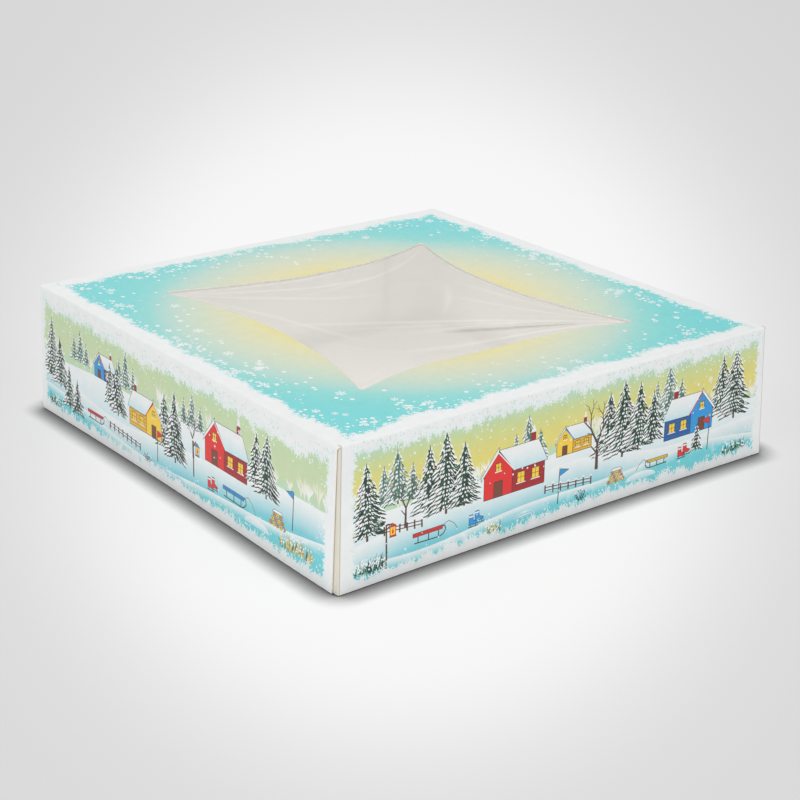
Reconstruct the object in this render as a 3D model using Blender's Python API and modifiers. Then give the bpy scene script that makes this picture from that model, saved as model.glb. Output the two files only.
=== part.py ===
"""Window pie box: a folding carton of white board, glued at its corners, with a hinged window lid.

Metres, +Z up. The front is towards -Y and the lid hinges on the crease along the top of the rear wall.
Each panel between two creases is one sub-part. The rounded crease itself belongs to the wall, skirt or tab
that it bends into view.
"""

import math

import bmesh
import bpy
from mathutils import Vector

# Lid, measured outside
LID_WIDTH = 0.254
LID_DEPTH = 0.254
BOX_HEIGHT = 0.0655
SKIRT_FLARE = math.radians(1.95)
SKIRT_LIFT = 0.0004
SIDE_SKIRT_REAR_INSET = 0.0005

# The wedge seam at the front corners, from the front skirt's face to the side skirt's free edge
SEAM_TOP = 0.0014
SEAM_BOTTOM = 0.0034

# Board and creases
BOARD = 0.0006
FOLD_INSIDE = 0.0003
FOLD_STEPS = 5
FREE_CORNER = 0.002

# Fits
FIT_GAP = 0.0003
LID_CLEARANCE = 0.0007
LID_HEADROOM = 0.0019

# Glue tabs
LID_TAB = 0.031
LID_TAB_MITRE = 0.003
LID_TAB_END_GAP = 0.001
TRAY_TAB = 0.031
TRAY_TAB_MITRE = 0.0015
TRAY_TAB_TOP_DROP = 0.0005
TAB_CORNER = 0.003

# Glue
GLUE_THICKNESS = 0.0001
GLUE_STRIP_WIDTH = 0.012
GLUE_STRIP_SETBACK = 0.007
GLUE_STRIP_MARGIN = 0.006

# Window: a square with sides that bow inwards and rounded tips
WINDOW_CHORD = 0.166
WINDOW_BOW = 0.015
WINDOW_TIP_RADIUS = 0.0018
WINDOW_SIDE_STEPS = 20
WINDOW_TIP_STEPS = 6
FILM_THICKNESS = 0.0001
FILM_OVERLAP = 0.014
FILM_GLUE_SETBACK = 0.004
FILM_GLUE_WIDTH = 0.005

# Places that follow from the sizes above
HALF_WIDTH = LID_WIDTH / 2
HALF_DEPTH = LID_DEPTH / 2
FOLD_OUTSIDE = FOLD_INSIDE + BOARD
LAP = BOARD + FIT_GAP
HINGE_Y = HALF_DEPTH - BOARD / 2
HINGE_Z = BOX_HEIGHT - BOARD / 2

LEAN = math.sin(SKIRT_FLARE)
SKIRT_DROP = BOX_HEIGHT - FOLD_OUTSIDE * (1 - LEAN) - SKIRT_LIFT
SKIRT_LENGTH = SKIRT_DROP / math.cos(SKIRT_FLARE)
FLARE_OUT = SKIRT_LENGTH * LEAN - FOLD_OUTSIDE * (1 - math.cos(SKIRT_FLARE))
CORNER_TURN = math.acos(LEAN**2)

TRAY_HALF_WIDTH = HALF_WIDTH - BOARD - LAP - LID_CLEARANCE
TRAY_FRONT = HALF_DEPTH - BOARD - LID_CLEARANCE
TRAY_TOP = BOX_HEIGHT - BOARD - LID_HEADROOM
TRAY_WALL_RISE = TRAY_TOP - FOLD_OUTSIDE

# The box's own centre lies a little behind the lid's, because only the front skirt flares
CENTRE_SHIFT = FLARE_OUT / 2

# A turn about Z that faces a panel's outer side to each side of the box
FACES_REAR = 0.0
FACES_LEFT = math.radians(90)
FACES_FRONT = math.radians(180)
FACES_RIGHT = math.radians(-90)

PRINTED_BOARD = (0.72, 0.84, 0.84, 1.0)
PLAIN_BOARD = (0.80, 0.79, 0.76, 1.0)
CLEAR_FILM = (0.92, 0.95, 0.96, 1.0)
DRIED_GLUE = (0.82, 0.76, 0.62, 1.0)


def clear_scene():
    for obj in list(bpy.data.objects):
        bpy.data.objects.remove(obj, do_unlink=True)


def new_collection(name):
    collection = bpy.data.collections.new(name)
    bpy.context.scene.collection.children.link(collection)
    return collection


def new_empty(name, collection, location, parent=None):
    empty = bpy.data.objects.new(name, None)
    empty.empty_display_size = 0.02
    empty.location = location
    empty.parent = parent
    collection.objects.link(empty)
    return empty


def finish_material(name, colour, roughness, alpha=1.0):
    material = bpy.data.materials.new(name)
    material.use_nodes = True
    shader = material.node_tree.nodes["Principled BSDF"]
    shader.inputs["Base Color"].default_value = colour
    shader.inputs["Roughness"].default_value = roughness
    shader.inputs["Metallic"].default_value = 0.0
    shader.inputs["Alpha"].default_value = alpha
    return material


def printed_board(name):
    return finish_material(f"{name}_printed_board", PRINTED_BOARD, 0.38)


def plain_board(name):
    return finish_material(f"{name}_plain_board", PLAIN_BOARD, 0.75)


def clear_film(name):
    return finish_material(f"{name}_clear_film", CLEAR_FILM, 0.08, alpha=0.3)


def dried_glue(name):
    return finish_material(f"{name}_dried_glue", DRIED_GLUE, 0.5)


class Assembly:
    """A collection and a parent empty, with the world place of that empty."""

    def __init__(self, collection, name, location, parent=None, base=Vector((0, 0, 0))):
        self.collection = collection
        self.place = Vector(location)
        self.empty = new_empty(name, collection, self.place - base, parent)

    def add(self, name, mesh, material, place, turn=0.0, flare=0.0):
        """Puts a mesh at a place of the lid's frame: leaned by the flare, then turned to its side of the box."""
        obj = bpy.data.objects.new(name, mesh)
        mesh.materials.append(material(name))
        obj.parent = self.empty
        obj.location = Vector(place) - self.place
        obj.rotation_euler = (flare, 0.0, turn)
        self.collection.objects.link(obj)
        return obj


def arc(centre, radius, start, end, steps):
    """Points of an arc from one angle to another, in radians."""
    points = []
    for step in range(steps + 1):
        angle = start + (end - start) * step / steps
        points.append((centre[0] + radius * math.cos(angle), centre[1] + radius * math.sin(angle)))
    return points


def plate_mesh(name, outlines, thickness):
    """A flat plate of the first outline, with the other outlines as holes, centred on its own thickness."""
    curve = bpy.data.curves.new(name, "CURVE")
    curve.dimensions = "2D"
    curve.fill_mode = "BOTH"
    curve.extrude = thickness / 2
    for outline in outlines:
        spline = curve.splines.new("POLY")
        spline.points.add(len(outline) - 1)
        for point, (x, y) in zip(spline.points, outline):
            point.co = (x, y, 0.0, 1.0)
        spline.use_cyclic_u = True
    guide = bpy.data.objects.new(f"{name}_outline", curve)
    bpy.context.scene.collection.objects.link(guide)
    depsgraph = bpy.context.evaluated_depsgraph_get()
    mesh = bpy.data.meshes.new_from_object(guide.evaluated_get(depsgraph))
    bpy.data.objects.remove(guide, do_unlink=True)
    bpy.data.curves.remove(curve)
    shape = bmesh.new()
    shape.from_mesh(mesh)
    bmesh.ops.remove_doubles(shape, verts=shape.verts, dist=FIT_GAP / 100)
    bmesh.ops.recalc_face_normals(shape, faces=shape.faces)
    shape.to_mesh(mesh)
    shape.free()
    mesh.name = name
    return mesh


def rectangle(left, right, front, rear):
    return [(left, front), (right, front), (right, rear), (left, rear)]


def board_sheet(name, outline, fold_angle, inset=0.0, rounded=(), corner=FREE_CORNER):
    """The outer face of a panel that bends away at its first edge, in the panel's own frame.

    The outline is a list of (x, z) points, and the face points to +y. The crease turns about the first
    edge, on an axis that lies one outside radius behind the face. The points named in rounded are the
    panel's free corners.
    """
    sheet = bmesh.new()
    face_depth = FOLD_OUTSIDE - inset
    corners = [sheet.verts.new((x, face_depth, z)) for x, z in outline]
    sheet.faces.new(corners)
    fold_start, fold_end = corners[0], corners[1]
    axis = (fold_start.co - fold_end.co).normalized()
    centre = fold_start.co - Vector((0.0, FOLD_OUTSIDE, 0.0))
    free = [corners[index] for index in rounded]
    if free:
        bmesh.ops.bevel(
            sheet,
            geom=free,
            offset=corner,
            offset_type="OFFSET",
            segments=4,
            profile=0.5,
            affect="VERTICES",
            clamp_overlap=True,
            material=-1,
        )
    crease = [edge for edge in sheet.edges if fold_start in edge.verts and fold_end in edge.verts]
    bmesh.ops.spin(
        sheet,
        geom=crease + [fold_start, fold_end],
        cent=centre,
        axis=axis,
        angle=fold_angle,
        steps=FOLD_STEPS,
        use_duplicate=False,
    )
    bmesh.ops.recalc_face_normals(sheet, faces=sheet.faces)
    panel = max(sheet.faces, key=lambda face: face.calc_area())
    if panel.normal.y < 0:
        bmesh.ops.reverse_faces(sheet, faces=sheet.faces)
    mesh = bpy.data.meshes.new(name)
    sheet.to_mesh(mesh)
    sheet.free()
    return mesh


def thicken(obj):
    """Gives a sheet the board's thickness, behind its outer face."""
    board = obj.modifiers.new("board thickness", "SOLIDIFY")
    board.thickness = BOARD
    board.offset = -1.0
    board.use_even_offset = True
    obj.data.shade_smooth()
    obj.data.set_sharp_from_angle(angle=math.radians(40))
    return obj


def window_outline(grow=0.0):
    """The window's edge, or one that runs outside it at a constant distance."""
    half_chord = WINDOW_CHORD / 2
    side_radius = (half_chord**2 + WINDOW_BOW**2) / (2 * WINDOW_BOW)
    side_centre = half_chord - WINDOW_BOW + side_radius
    reach = side_radius + WINDOW_TIP_RADIUS
    tip = (side_centre - math.sqrt(2 * reach**2 - side_centre**2)) / 2
    half_angle = math.atan2(tip, side_centre - tip)
    down = -math.pi / 2
    side = arc((0.0, side_centre), side_radius - grow, down - half_angle, down + half_angle, WINDOW_SIDE_STEPS)
    tip_start = math.pi / 2 + half_angle
    rounding = arc((tip, tip), WINDOW_TIP_RADIUS + grow, tip_start, math.pi / 2 - tip_start, WINDOW_TIP_STEPS)
    quarter = side + rounding[1:-1]
    outline = []
    for turns in range(4):
        for x, y in quarter:
            for _ in range(turns):
                x, y = y, -x
            outline.append((x, y))
    return outline


def glue_strip(name, length):
    """A flat strip of glue with round ends, which stands upright in a panel's frame."""
    radius = GLUE_STRIP_WIDTH / 2
    reach = length / 2 - radius
    outline = arc((0.0, reach), radius, 0.0, math.pi, 8) + arc((0.0, -reach), radius, math.pi, 2 * math.pi, 8)
    mesh = plate_mesh(name, [outline], GLUE_THICKNESS)
    turned = bmesh.new()
    turned.from_mesh(mesh)
    for vert in turned.verts:
        x, y, z = vert.co
        vert.co = (x, -z, y)
    turned.to_mesh(mesh)
    turned.free()
    return mesh


def upright_frame(side, forward):
    """Where the crease axes of a tray wall lie: the place and the turn of a panel on that side."""
    distance = forward - FOLD_OUTSIDE
    direction = {FACES_REAR: (0, 1), FACES_LEFT: (-1, 0), FACES_FRONT: (0, -1), FACES_RIGHT: (1, 0)}[side]
    return (direction[0] * distance, direction[1] * distance, FOLD_OUTSIDE)


def build_bottom_panel(tray):
    margin = FOLD_OUTSIDE + FIT_GAP
    half = TRAY_HALF_WIDTH - margin
    outline = rectangle(-half, half, -(TRAY_FRONT - margin), HALF_DEPTH - margin)
    mesh = plate_mesh("bottom_panel", [outline], BOARD)
    tray.add("bottom_panel", mesh, plain_board, (0.0, 0.0, BOARD / 2))


def tray_wall_sheet(name, left, right):
    outline = [(left, 0.0), (right, 0.0), (right, TRAY_WALL_RISE), (left, TRAY_WALL_RISE)]
    return board_sheet(name, outline, math.radians(90), rounded=(2, 3))


def build_tray_walls(tray):
    flush = TRAY_HALF_WIDTH - FIT_GAP
    sheet = tray_wall_sheet("front_wall", -flush, flush)
    place = upright_frame(FACES_FRONT, TRAY_FRONT)
    thicken(tray.add("front_wall", sheet, plain_board, place, FACES_FRONT))
    corner_room = LAP + FOLD_OUTSIDE + FIT_GAP
    front_end = TRAY_FRONT - corner_room
    rear_end = HALF_DEPTH - corner_room
    left_sheet = tray_wall_sheet("left_wall", -front_end, rear_end)
    right_sheet = tray_wall_sheet("right_wall", -rear_end, front_end)
    for name, sheet, side in (("left_wall", left_sheet, FACES_LEFT), ("right_wall", right_sheet, FACES_RIGHT)):
        thicken(tray.add(name, sheet, plain_board, upright_frame(side, TRAY_HALF_WIDTH), side))


def build_rear_wall(tray):
    """The rear wall's section, from the bottom crease to the round hinge crease, drawn out along X."""
    outer, inner = 0.0, -BOARD
    fold_centre = (-FOLD_OUTSIDE, FOLD_OUTSIDE)
    hinge_centre = (-BOARD / 2, HINGE_Z)
    section = arc(fold_centre, FOLD_OUTSIDE, -math.pi / 2, 0.0, FOLD_STEPS)
    section += arc(hinge_centre, outer - hinge_centre[0], 0.0, math.pi, 2 * FOLD_STEPS)
    section += arc(fold_centre, inner - fold_centre[0], 0.0, -math.pi / 2, FOLD_STEPS)
    mesh = plate_mesh("rear_wall", [section], 2 * (TRAY_HALF_WIDTH - FIT_GAP))
    wall = tray.add("rear_wall", mesh, printed_board, (0.0, HALF_DEPTH, 0.0))
    wall.rotation_euler = (math.radians(90), 0.0, math.radians(90))
    mesh.shade_smooth()
    mesh.set_sharp_from_angle(angle=math.radians(40))


def build_tray_tabs(tray):
    """Four tabs fold in from the ends of the side walls and are glued inside the front and rear walls."""
    fold_line = TRAY_HALF_WIDTH - FOLD_OUTSIDE
    low = FIT_GAP
    high = TRAY_WALL_RISE - TRAY_TAB_TOP_DROP
    for end, side, forward in (("front", FACES_FRONT, TRAY_FRONT), ("rear", FACES_REAR, HALF_DEPTH)):
        place = upright_frame(side, forward)
        across = {FACES_FRONT: {"left": 1, "right": -1}, FACES_REAR: {"left": -1, "right": 1}}[side]
        for hand, sign in across.items():
            fold_x = sign * fold_line
            free_x = sign * (fold_line - TRAY_TAB)
            outline = [
                (fold_x, high),
                (fold_x, low),
                (free_x, low + TRAY_TAB_MITRE),
                (free_x, high - TRAY_TAB_MITRE),
            ]
            name = f"tray_tab_{end}_{hand}"
            sheet = board_sheet(name, outline, -sign * math.radians(90), LAP, (2, 3), TAB_CORNER)
            thicken(tray.add(name, sheet, plain_board, place, side))
            glue_name = f"tray_glue_{end}_{hand}"
            strip = glue_strip(glue_name, high - low - 2 * GLUE_STRIP_MARGIN)
            strip_x = sign * (fold_line - GLUE_STRIP_SETBACK - GLUE_STRIP_WIDTH / 2)
            depth = FOLD_OUTSIDE - BOARD - FIT_GAP / 2
            glue = tray.add(glue_name, strip, dried_glue, place, side)
            shift_mesh(glue.data, (strip_x, depth, (high + low) / 2))


def shift_mesh(mesh, offset):
    """Moves a mesh within its object's own frame."""
    shape = bmesh.new()
    shape.from_mesh(mesh)
    bmesh.ops.translate(shape, verts=shape.verts, vec=Vector(offset))
    shape.to_mesh(mesh)
    shape.free()


def build_window_panel(lid):
    margin = FOLD_OUTSIDE + FIT_GAP
    half = HALF_WIDTH - margin
    rear = HINGE_Y - BOARD / 2 - FIT_GAP
    outline = rectangle(-half, half, -(HALF_DEPTH - margin), rear)
    mesh = plate_mesh("window_panel", [outline, window_outline()], BOARD)
    lid.add("window_panel", mesh, printed_board, (0.0, 0.0, BOX_HEIGHT - BOARD / 2))


def build_window_film(lid):
    reach = WINDOW_CHORD / 2 + FILM_OVERLAP
    mesh = plate_mesh("window_film", [rectangle(-reach, reach, -reach, reach)], FILM_THICKNESS)
    height = BOX_HEIGHT - BOARD - FIT_GAP - FILM_THICKNESS / 2
    lid.add("window_film", mesh, clear_film, (0.0, 0.0, height))
    inner = window_outline(FILM_GLUE_SETBACK)
    outer = window_outline(FILM_GLUE_SETBACK + FILM_GLUE_WIDTH)
    ring = plate_mesh("film_glue", [outer, inner], GLUE_THICKNESS)
    lid.add("film_glue", ring, dried_glue, (0.0, 0.0, BOX_HEIGHT - BOARD - FIT_GAP / 2))


def build_front_skirt(lid):
    """The front skirt widens downwards with the flare of the two sides."""
    top_half = HALF_WIDTH - FOLD_OUTSIDE - LAP / math.cos(SKIRT_FLARE) - FIT_GAP
    bottom_half = top_half + SKIRT_LENGTH * LEAN
    outline = [
        (-top_half, 0.0),
        (top_half, 0.0),
        (bottom_half, -SKIRT_LENGTH),
        (-bottom_half, -SKIRT_LENGTH),
    ]
    sheet = board_sheet("front_skirt", outline, SKIRT_FLARE - math.radians(90))
    place = (0.0, -(HALF_DEPTH - FOLD_OUTSIDE), BOX_HEIGHT - FOLD_OUTSIDE)
    thicken(lid.add("front_skirt", sheet, printed_board, place, FACES_FRONT, SKIRT_FLARE))


def build_side_skirts(lid):
    """Each side skirt ends short of the front corner, and its glue tab comes round from the front skirt."""
    seam_top = -(HALF_DEPTH - SEAM_TOP)
    seam_bottom = -(HALF_DEPTH + FLARE_OUT - SEAM_BOTTOM)
    rear = HALF_DEPTH - SIDE_SKIRT_REAR_INSET
    fold_top = -(HALF_DEPTH - FOLD_OUTSIDE)
    high = -LID_TAB_END_GAP
    low = LID_TAB_END_GAP - SKIRT_LENGTH
    for hand, side, sign in (("left", FACES_LEFT, 1), ("right", FACES_RIGHT, -1)):
        place = (-sign * (HALF_WIDTH - FOLD_OUTSIDE), 0.0, BOX_HEIGHT - FOLD_OUTSIDE)
        outline = [
            (sign * seam_top, 0.0),
            (sign * rear, 0.0),
            (sign * rear, -SKIRT_LENGTH),
            (sign * seam_bottom, -SKIRT_LENGTH),
        ]
        skirt_name = f"{hand}_skirt"
        turn = sign * (SKIRT_FLARE - math.radians(90))
        sheet = board_sheet(skirt_name, outline, turn, rounded=(2,))
        thicken(lid.add(skirt_name, sheet, printed_board, place, side, SKIRT_FLARE))

        tab_outline = [
            (sign * (fold_top + high * LEAN), high),
            (sign * (fold_top + low * LEAN), low),
            (sign * (fold_top + low * LEAN + LID_TAB), low + LID_TAB_MITRE),
            (sign * (fold_top + high * LEAN + LID_TAB), high - LID_TAB_MITRE),
        ]
        tab_name = f"lid_tab_{hand}"
        tab = board_sheet(tab_name, tab_outline, sign * CORNER_TURN, LAP, (2, 3), TAB_CORNER)
        thicken(lid.add(tab_name, tab, plain_board, place, side, SKIRT_FLARE))

        glue_name = f"lid_glue_{hand}"
        strip = glue_strip(glue_name, high - low - 2 * GLUE_STRIP_MARGIN)
        middle = (high + low) / 2
        strip_x = fold_top + GLUE_STRIP_SETBACK + GLUE_STRIP_WIDTH / 2
        depth = FOLD_OUTSIDE - BOARD - FIT_GAP / 2
        glue = lid.add(glue_name, strip, dried_glue, place, side, SKIRT_FLARE)
        shift_mesh(glue.data, (sign * strip_x, depth, middle))


def main():
    clear_scene()
    collection = new_collection("pie_box")
    box = new_empty("pie_box_centre", collection, (0.0, CENTRE_SHIFT, 0.0))
    tray = Assembly(collection, "tray_frame", (0.0, 0.0, 0.0), box)
    lid = Assembly(collection, "lid_hinge_axis", (0.0, HINGE_Y, HINGE_Z), box)
    build_bottom_panel(tray)
    build_tray_walls(tray)
    build_rear_wall(tray)
    build_tray_tabs(tray)
    build_window_panel(lid)
    build_window_film(lid)
    build_front_skirt(lid)
    build_side_skirts(lid)


main()
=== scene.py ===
"""Printed window pie box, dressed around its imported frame.

The boards are cut along the outlines of their print while they are still flat, as a blank is
printed before it is folded. They are then laid over the folded form and given their thickness.
"""

import math
import random

import bmesh
import bpy
import numpy
from bpy.props import FloatProperty, FloatVectorProperty, IntProperty, PointerProperty
from mathutils import Matrix, Vector, geometry, kdtree, noise


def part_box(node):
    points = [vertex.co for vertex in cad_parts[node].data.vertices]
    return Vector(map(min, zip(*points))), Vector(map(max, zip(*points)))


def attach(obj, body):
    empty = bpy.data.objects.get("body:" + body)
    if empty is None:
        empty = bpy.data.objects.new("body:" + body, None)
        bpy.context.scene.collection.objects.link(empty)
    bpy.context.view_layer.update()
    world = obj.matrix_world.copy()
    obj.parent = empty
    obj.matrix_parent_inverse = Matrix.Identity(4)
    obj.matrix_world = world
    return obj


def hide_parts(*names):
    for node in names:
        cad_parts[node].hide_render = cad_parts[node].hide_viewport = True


bl_info = {
    "name": "Window Pie Box",
    "version": (1, 0, 0),
    "blender": (4, 5, 0),
    "location": "View3D > Sidebar > Pie Box",
    "description": "Dresses a folding pie box: printed lid, window film, plain tray, glue and a studio floor",
    "category": "Object",
}

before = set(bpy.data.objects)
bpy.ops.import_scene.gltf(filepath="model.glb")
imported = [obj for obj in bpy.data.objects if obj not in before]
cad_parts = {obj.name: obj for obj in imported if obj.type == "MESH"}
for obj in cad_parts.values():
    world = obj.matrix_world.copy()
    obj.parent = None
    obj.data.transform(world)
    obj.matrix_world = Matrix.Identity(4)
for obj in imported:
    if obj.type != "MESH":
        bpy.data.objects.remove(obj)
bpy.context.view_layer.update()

# Places that come from the frame
PANEL_LOW, PANEL_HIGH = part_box("window_panel")
FILM_LOW, FILM_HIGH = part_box("window_film")
REAR_LOW, REAR_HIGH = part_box("rear_wall")
SKIRT_LOW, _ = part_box("left_skirt")
WALL_LOW, WALL_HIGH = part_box("left_wall")
FRONT_WALL_LOW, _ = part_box("front_wall")
_, TAB_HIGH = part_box("tray_tab_front_left")

# The folded box, in metres: its planes are measured from the middle of its window
MM = 0.001
CENTRE = Vector((0.0, (FILM_LOW.y + FILM_HIGH.y) / 2, 0.0))
LID_TOP = PANEL_HIGH.z
BOARD = PANEL_HIGH.z - PANEL_LOW.z
FOLD_INSIDE = BOARD / 2
FOLD = FOLD_INSIDE + BOARD
HALF = REAR_HIGH.y - CENTRE.y
FLARE_OUT = -SKIRT_LOW.x - HALF
TRAY_SIDE = -WALL_LOW.x
HINGE_Y = HALF - BOARD / 2
HINGE_Z = LID_TOP - BOARD / 2

UP = Vector((0.0, 0.0, 1.0))
FRONT = Vector((0.0, -1.0, 0.0))
LEFT = Vector((-1.0, 0.0, 0.0))
RIGHT = Vector((1.0, 0.0, 0.0))
REAR = Vector((0.0, 1.0, 0.0))

# Small lengths of the form, in metres
BOW_SHIFT = 0.02  # how far behind a side skirt's middle its bow is deepest
SKIRT_END = 0.0005  # how far short of the corner a side skirt's board ends
SEAM_SLIT = 0.0003  # how far under the top fold the corner fold begins
MITRE = 0.003  # how much a lid tab narrows at its free end
TAB_DROP = 0.0001  # how far a lid tab's upper edge falls at its root
TAB_FOOT = 0.0012  # where a tray tab begins above the floor
TAB_TAPER = 0.0015  # how much a tray tab narrows at each end of its free edge
TAB_CORNER = 0.003  # the rounding of a tray tab's free corners
CLOSE = MM / 10  # how near an edge lies to the place that it is looked for at
GLUE_LINE = 0.0002  # how thick the glue under the panel is
GLUE_GAP = 0.00005  # how far under the panel it begins

BOW_FADE = 1.8  # a skirt's bow fades by this power of the way up from its foot
SAG_ROUND = 0.06  # metres from the window's middle past which each eighth of the panel has its own sag
SAG_REACH = 0.47  # the share of the way in from the lid's edge at which the sag is full
SAG_FADE = 1.4  # the panel's sag fades by this power towards the lid's edge
SHARP = math.radians(42)  # the turn between two faces past which their edge stays sharp

BLEED = 4.0  # millimetres that a picture is painted past the foot of its page
PRINT = "print"
# The attribute of the film's painted light streaks, which stand in for reflections off its wrinkles
PAINTED_STREAKS = "stretch"
NO_INK = (1.0, 1.0, 1.0, 0.0)
NOISE_LOW, NOISE_HIGH = 0.3, 0.7  # the range that most of a noise lies in


class BoardSettings(bpy.types.PropertyGroup):
    flare: FloatProperty(
        name="Skirt flare",
        description="Lean of the lid's skirts",
        default=math.radians(1.95),
        subtype="ANGLE",
    )
    bow: FloatProperty(
        name="Skirt bow",
        description="How far the middle of a skirt's foot is drawn in",
        default=0.0013,
        unit="LENGTH",
    )
    lip: FloatProperty(
        name="Lip",
        description="Flat strip of each skirt's board on the lid's top",
        default=0.0012,
        unit="LENGTH",
    )
    seam_top: FloatProperty(
        name="Seam at the top", description="Open width of the corner seam", default=0.0014, unit="LENGTH"
    )
    seam_foot: FloatProperty(
        name="Seam at the foot", description="Open width of the corner seam", default=0.0034, unit="LENGTH"
    )
    tab: FloatProperty(name="Glue tab", description="Length of a glue tab", default=0.031, unit="LENGTH")
    corner: FloatProperty(
        name="Free corner", description="Radius of a board's free corner", default=0.002, unit="LENGTH"
    )
    crease_steps: IntProperty(name="Crease steps", description="Facets round a crease", default=8, min=3)
    white: FloatVectorProperty(
        name="White", description="Coated, unprinted board", default=(0.86, 0.86, 0.85), subtype="COLOR"
    )
    inside: FloatVectorProperty(
        name="Inside",
        description="Uncoated side of the board",
        default=(0.96, 0.92, 0.86),
        subtype="COLOR",
    )
    cut: FloatVectorProperty(
        name="Cut edge", description="Bare fibres along a cut", default=(0.97, 0.95, 0.91), subtype="COLOR"
    )


class FilmSettings(bpy.types.PropertyGroup):
    chord: FloatProperty(
        name="Window", description="Window from side to side", default=0.166, unit="LENGTH"
    )
    window_bow: FloatProperty(
        name="Window bow",
        description="How far the window's sides bow inwards",
        default=0.015,
        unit="LENGTH",
    )
    tip: FloatProperty(
        name="Tip radius", description="Rounding of the window's tips", default=0.0018, unit="LENGTH"
    )
    thickness: FloatProperty(name="Film", description="Film thickness", default=0.00008, unit="LENGTH")
    sag: FloatProperty(
        name="Sag", description="Drop at the middle of the film", default=0.0006, unit="LENGTH"
    )
    panel_sag: FloatVectorProperty(
        name="Panel sag",
        description="Drop of the board round the window, at each eighth of a turn from the right",
        size=8,
        default=(0.0023, 0.0034, 0.0017, 0.0, 0.0002, 0.0002, 0.0034, 0.0020),
        unit="LENGTH",
    )
    glue_inset: FloatProperty(
        name="Glue inset", description="From the window's edge to the glue", default=0.004, unit="LENGTH"
    )
    glue_width: FloatProperty(
        name="Glue width", description="Width of the glue line", default=0.005, unit="LENGTH"
    )
    steps: IntProperty(name="Film steps", description="Cells along the film", default=190, min=20)
    tint: FloatVectorProperty(
        name="Film tint", description="Colour of the film", default=(1.0, 0.975, 0.905), subtype="COLOR"
    )


class StageSettings(bpy.types.PropertyGroup):
    lens: FloatProperty(name="Lens", description="Focal length in millimetres", default=80.26)
    yaw: FloatProperty(
        name="Yaw",
        description="Turn of the view from straight on",
        default=math.radians(38.32),
        subtype="ANGLE",
    )
    pitch: FloatProperty(
        name="Pitch",
        description="How far the view looks down",
        default=math.radians(21.61),
        subtype="ANGLE",
    )
    roll: FloatProperty(
        name="Roll", description="Tilt of the view", default=math.radians(1.15), subtype="ANGLE"
    )
    eye: FloatVectorProperty(
        name="Eye",
        description="Place of the camera",
        default=(-0.5118, -0.6517, 0.3442),
        subtype="TRANSLATION",
    )
    world: FloatProperty(name="World", description="Strength of the even light", default=0.64)
    key: FloatProperty(name="Key", description="Power of the key lamp", default=9.8, subtype="POWER")
    fill: FloatProperty(name="Fill", description="Power of the fill lamp", default=7.5, subtype="POWER")
    back: FloatProperty(name="Back", description="Power of the back lamp", default=3.0, subtype="POWER")
    contact: FloatProperty(
        name="Contact shadow",
        description="How far the dark at the box's foot reaches",
        default=0.0125,
        unit="LENGTH",
    )
    backdrop: FloatVectorProperty(
        name="Backdrop", description="Colour far from the box", default=(0.70, 0.70, 0.70), subtype="COLOR"
    )


class PieBoxSettings(bpy.types.PropertyGroup):
    board: PointerProperty(type=BoardSettings)
    film: PointerProperty(type=FilmSettings)
    stage: PointerProperty(type=StageSettings)


def settings():
    return bpy.context.scene.pie_box


# Inks and the printed page


def ink(red, green, blue):
    """An ink from screen levels of 0 to 255."""
    levels = [(level / 255 + 0.055) / 1.055 for level in (red, green, blue)]
    return tuple(level**2.4 for level in levels) + (1.0,)


WHITE = ink(238, 240, 240)
ICE = ink(224, 237, 237)
TURQUOISE = ink(112, 208, 216)
SKY = ink(176, 218, 206)
MEADOW = ink(204, 216, 150)
GLOW = ink(232, 214, 112)
SNOW = ink(238, 240, 240)
SNOW_SHADE = ink(186, 224, 232)
HOLLOW = ink(116, 202, 214)
OUTLINE = ink(34, 36, 44)
BARK = ink(84, 60, 50)
NEEDLES = (ink(22, 42, 40), ink(30, 66, 52), ink(18, 30, 36), ink(44, 96, 66))
FAR_NEEDLES = (ink(96, 132, 122), ink(78, 116, 106), ink(120, 152, 136))
RED = ink(224, 42, 40)
DEEP_RED = ink(168, 30, 34)
BLUE = ink(44, 150, 218)
DEEP_BLUE = ink(30, 96, 166)
YELLOW = ink(244, 204, 62)
OCHRE = ink(226, 176, 60)
BROWN = ink(118, 66, 44)
TIMBER = ink(206, 150, 92)
REEDS = (ink(24, 92, 74), ink(34, 60, 52), ink(96, 142, 70), ink(18, 40, 42))
STRAW = (ink(206, 178, 84), ink(150, 140, 70), ink(226, 206, 128), ink(60, 70, 54))
CREAM = ink(222, 216, 202)
# Painted shade for the thin line along each front corner fold
PAINTED_CREASE_SHADE = ink(190, 184, 168)
# A cottage's paint: its wall, its shaded side and its trim
RED_PAINT = (RED, DEEP_RED, WHITE)
BLUE_PAINT = (BLUE, DEEP_BLUE, RED)
YELLOW_PAINT = (YELLOW, OCHRE, RED)
# The top's glow, from the window outwards, in millimetres from its middle
RIND = (
    (67.0, ink(231, 220, 126)),
    (73.0, ink(229, 222, 164)),
    (88.0, ink(216, 220, 187)),
    (104.0, ink(194, 218, 200)),
    (112.0, ink(172, 216, 206)),
    (120.0, ink(134, 215, 209)),
    (130.0, ink(110, 213, 211)),
    (145.0, ink(102, 212, 213)),
)


def ease(share):
    """A share from 0 to 1 that starts and ends gently."""
    return share * share * (3 - 2 * share)


def mix(first, second, share):
    """The colour at a share of the way from the first to the second."""
    share = min(max(share, 0.0), 1.0)
    return tuple(a + (b - a) * share for a, b in zip(first, second))


def ramp(stops, value):
    """The colour at a value, from a list of (value, colour) stops."""
    for (low, first), (high, second) in zip(stops, stops[1:]):
        if value <= high:
            return mix(first, second, (value - low) / (high - low))
    return stops[-1][1]


def encloses(outline, spots):
    """Which of the spots lie inside the outline."""
    inside = numpy.zeros(len(spots), bool)
    across, up = spots.T
    for (x0, y0), (x1, y1) in zip(outline, numpy.roll(outline, -1, axis=0)):
        if y0 != y1:
            inside ^= ((y0 > up) != (y1 > up)) & (across < (x1 - x0) * (up - y0) / (y1 - y0) + x0)
    return inside


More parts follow.
